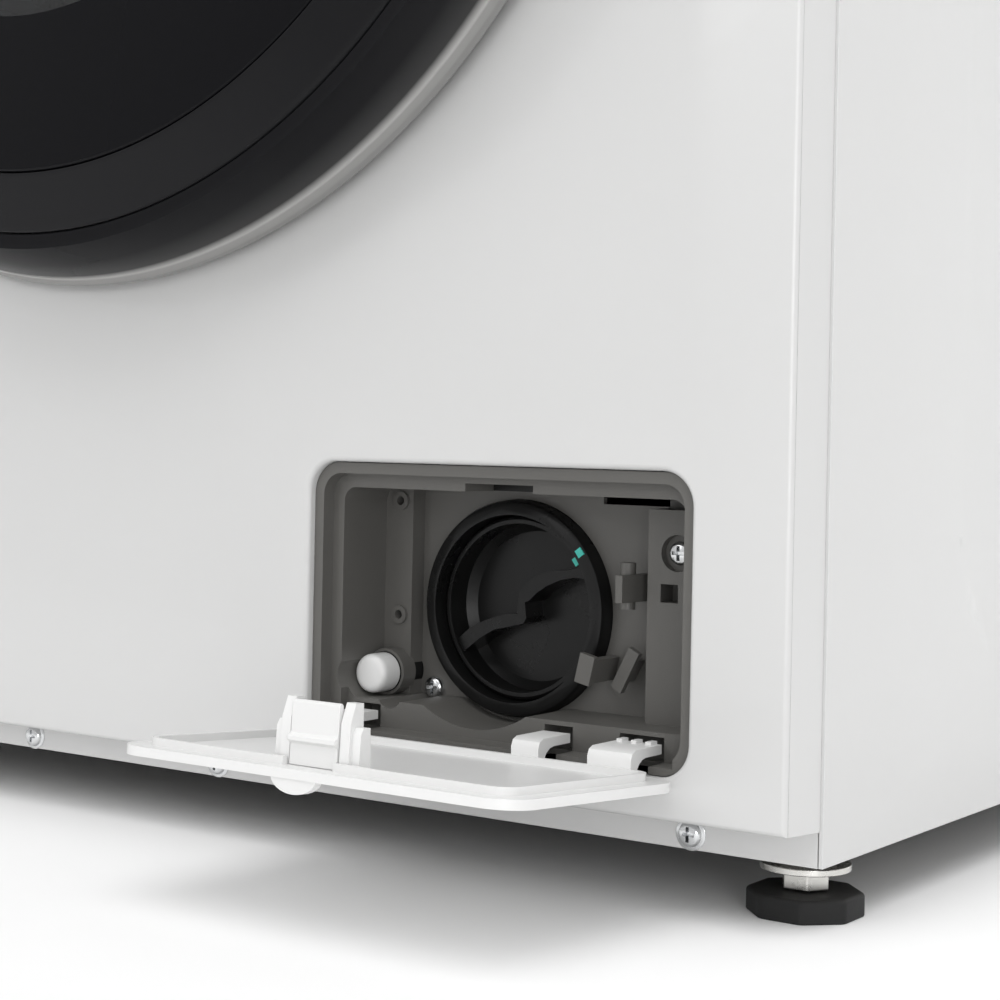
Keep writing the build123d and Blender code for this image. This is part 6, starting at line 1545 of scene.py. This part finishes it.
class WASHER_OT_controls(bpy.types.Operator):
    """Finishes the fascia, display, dial, buttons and drawer"""

    bl_idname = "washer.controls"
    bl_label = "Controls and drawer"

    def execute(self, context):
        for node in (
            "control_fascia", "display_lens", "program_knob", "start_button", "power_button",
            "option_button", "drawer_front", "drawer_tray", "drawer_housing",
        ):
            soften(node, 0.0005)
        self.dial()
        self.display()
        self.symbols()
        return {"FINISHED"}

    def ink(self):
        """The dark print of the signs and numbers."""
        return coated(
            "printed_ink", (0.05, 0.05, 0.055), 0.5, grain=1500.0, depth=0.0, cloud=60.0, shift=0.1
        )

    def dial(self):
        """Ticks and numbers round the dial, and the knob's pointer."""
        ticks = washer().detail.dial_ticks
        ink = self.ink()
        tick = prism("tick", [(-0.35, -1.4), (0.35, -1.4), (0.35, 1.4), (-0.35, 1.4)], -0.05, 0.05)
        tick.transform(Matrix.Translation(-at(0, 0, 0)))
        tick_reach, number_wide, number_high, number_size = 35.6, 42.4, 41.2, 5.0
        places, numbers = [], []
        for index in range(ticks):
            angle = 2 * math.pi * index / ticks
            c, s = math.cos(angle), math.sin(angle)
            spot = at(tick_reach * s, FASCIA_Y - 0.02, CONTROL_Z + tick_reach * c)
            places.append((spot, (0.0, angle, 0.0)))
            label = "OFF" if index == 0 else str(index)
            numbers.append((label, number_wide * s, FASCIA_Y, CONTROL_Z + number_high * c, number_size))
        repeat("dial_ticks", tick, places, "cabinet", "lens_black", ink)
        keep("dial_numbers", lettering("dial_numbers", numbers, 0.08), "cabinet", "lens_black", ink)
        outline = [(-0.9, 796.5), (0.9, 796.5), (0.9, 786.5), (-0.9, 786.5)]
        keep("dial_pointer", prism("dial_pointer", outline, -38.5, -38.1, 0.1), "knob", "lens_black", ink)

    def display(self):
        """The lit time: three digits and the two dots between them."""
        glow = lit("display_glow", (0.75, 0.90, 1.0), 1.6)
        front, back, middle = FASCIA_Y - 0.06, FASCIA_Y + 0.1, 791
        bars = {"0": "abcdef", "1": "bc", "5": "acdfg"}
        strokes = {
            "a": (0, 7, True), "g": (0, 0, True), "d": (0, -7, True), "f": (-3.6, 3.5, False),
            "b": (3.6, 3.5, False), "e": (-3.6, -3.5, False), "c": (3.6, -3.5, False),
        }
        pieces = []
        for digit, x in (("1", 88.0), ("0", 107.0), ("5", 120.0)):
            for bar in bars[digit]:
                across, up, level = strokes[bar]
                pieces.append(prism("bar", self.stroke(x + across, middle + up, level), front, back))
        for z in (788.0, 794.0):
            pieces.append(prism("dot", circle(0.8, 10, 97.5, z), front, back))
        keep("display_digits", merged("display_digits", pieces), "cabinet", "lens_black", glow)

    def stroke(self, x, z, level):
        """One bar of a digit: a long hexagon, level or upright."""
        half, shoulder, thick = 2.6, 2.6 * 0.8, 0.65
        outline = [
            (-half, 0), (-shoulder, -thick), (shoulder, -thick), (half, 0), (shoulder, thick),
            (-shoulder, thick),
        ]
        if level:
            return [(x + along, z + aside) for along, aside in outline]
        return [(x - aside, z + along) for along, aside in outline]

    def symbols(self):
        """Generic signs on the buttons and the drawer."""
        ink = self.ink()
        front, back = -18.56, -18.4
        arrow = [(200.2, 781.2), (205.2, 777.5), (200.2, 773.8)]
        outlines = [arrow]
        for left, right in ((206.6, 207.7), (208.9, 210.0)):
            outlines.append([(left, 773.8), (right, 773.8), (right, 781.2), (left, 781.2)])
        start = merged("start_sign", [prism("sign", outline, front, back) for outline in outlines])
        keep("start_sign", start, "start", "lens_black", ink)
        arc = []
        for radius, order in ((3.9, 1), (3.1, -1)):
            for step in range(25)[::order]:
                angle = math.radians(120 + 300 * step / 24)
                arc.append((255 + radius * math.cos(angle), 777.2 + radius * math.sin(angle)))
        bar = [(254.6, 777.4), (255.4, 777.4), (255.4, 782.0), (254.6, 782.0)]
        power = [self.strip("sign", arc, front, back), prism("sign", bar, front, back)]
        keep("power_sign", merged("power_sign", power), "power", "lens_black", ink)
        numbers = [(text, x, FASCIA_Y, 803, 7.0) for text, x in (("1", -220), ("2", -191), ("3", -162))]
        keep("drawer_numbers", lettering("drawer_numbers", numbers, 0.08), "drawer", "lens_black", ink)

    def strip(self, name, outline, y0, y1):
        """A bent strip between an outer row of points and an inner row that runs back."""
        form = bmesh.new()
        front = [form.verts.new(at(x, y0, z)) for x, z in outline]
        back = [form.verts.new(at(x, y1, z)) for x, z in outline]
        total = len(outline)
        for index in range(total // 2 - 1):
            mate = total - 1 - index
            form.faces.new((front[index], front[index + 1], front[mate - 1], front[mate]))
            form.faces.new((back[index], back[mate], back[mate - 1], back[index + 1]))
        for index in range(total):
            after = (index + 1) % total
            form.faces.new((front[index], back[index], back[after], front[after]))
        bmesh.ops.recalc_face_normals(form, faces=form.faces)
        return mesh_from_bmesh(name, form)


class WASHER_PT_panel(bpy.types.Panel):
    """Lists the settings and the pieces of the washing machine"""

    bl_label = "Front load washing machine"
    bl_idname = "WASHER_PT_panel"
    bl_space_type = "VIEW_3D"
    bl_region_type = "UI"
    bl_category = "Washer"

    def draw(self, context):
        for group in ("finish", "detail", "stage"):
            box = self.layout.box()
            settings = getattr(context.scene.washer, group)
            for key in settings.bl_rna.properties.keys():
                if key not in ("rna_type", "name"):
                    box.prop(settings, key)
        for operator in OPERATORS:
            self.layout.operator(operator.bl_idname)


OPERATORS = (
    WASHER_OT_stage, WASHER_OT_cabinet, WASHER_OT_feet, WASHER_OT_service, WASHER_OT_door,
    WASHER_OT_wash_group, WASHER_OT_controls,
)
CLASSES = (WasherFinish, WasherDetail, WasherStage, Washer, *OPERATORS, WASHER_PT_panel)


def register():
    for cls in CLASSES:
        bpy.utils.register_class(cls)
    bpy.types.Scene.washer = PointerProperty(
        type=Washer, name="Washer", description="Settings of the machine"
    )


def unregister():
    del bpy.types.Scene.washer
    for cls in reversed(CLASSES):
        bpy.utils.unregister_class(cls)


def main():
    """Dresses the machine."""
    register()
    bpy.ops.washer.stage()
    bpy.ops.washer.cabinet()
    bpy.ops.washer.feet()
    bpy.ops.washer.service()
    bpy.ops.washer.door()
    bpy.ops.washer.wash_group()
    bpy.ops.washer.controls()


if __name__ == "__main__":
    main()
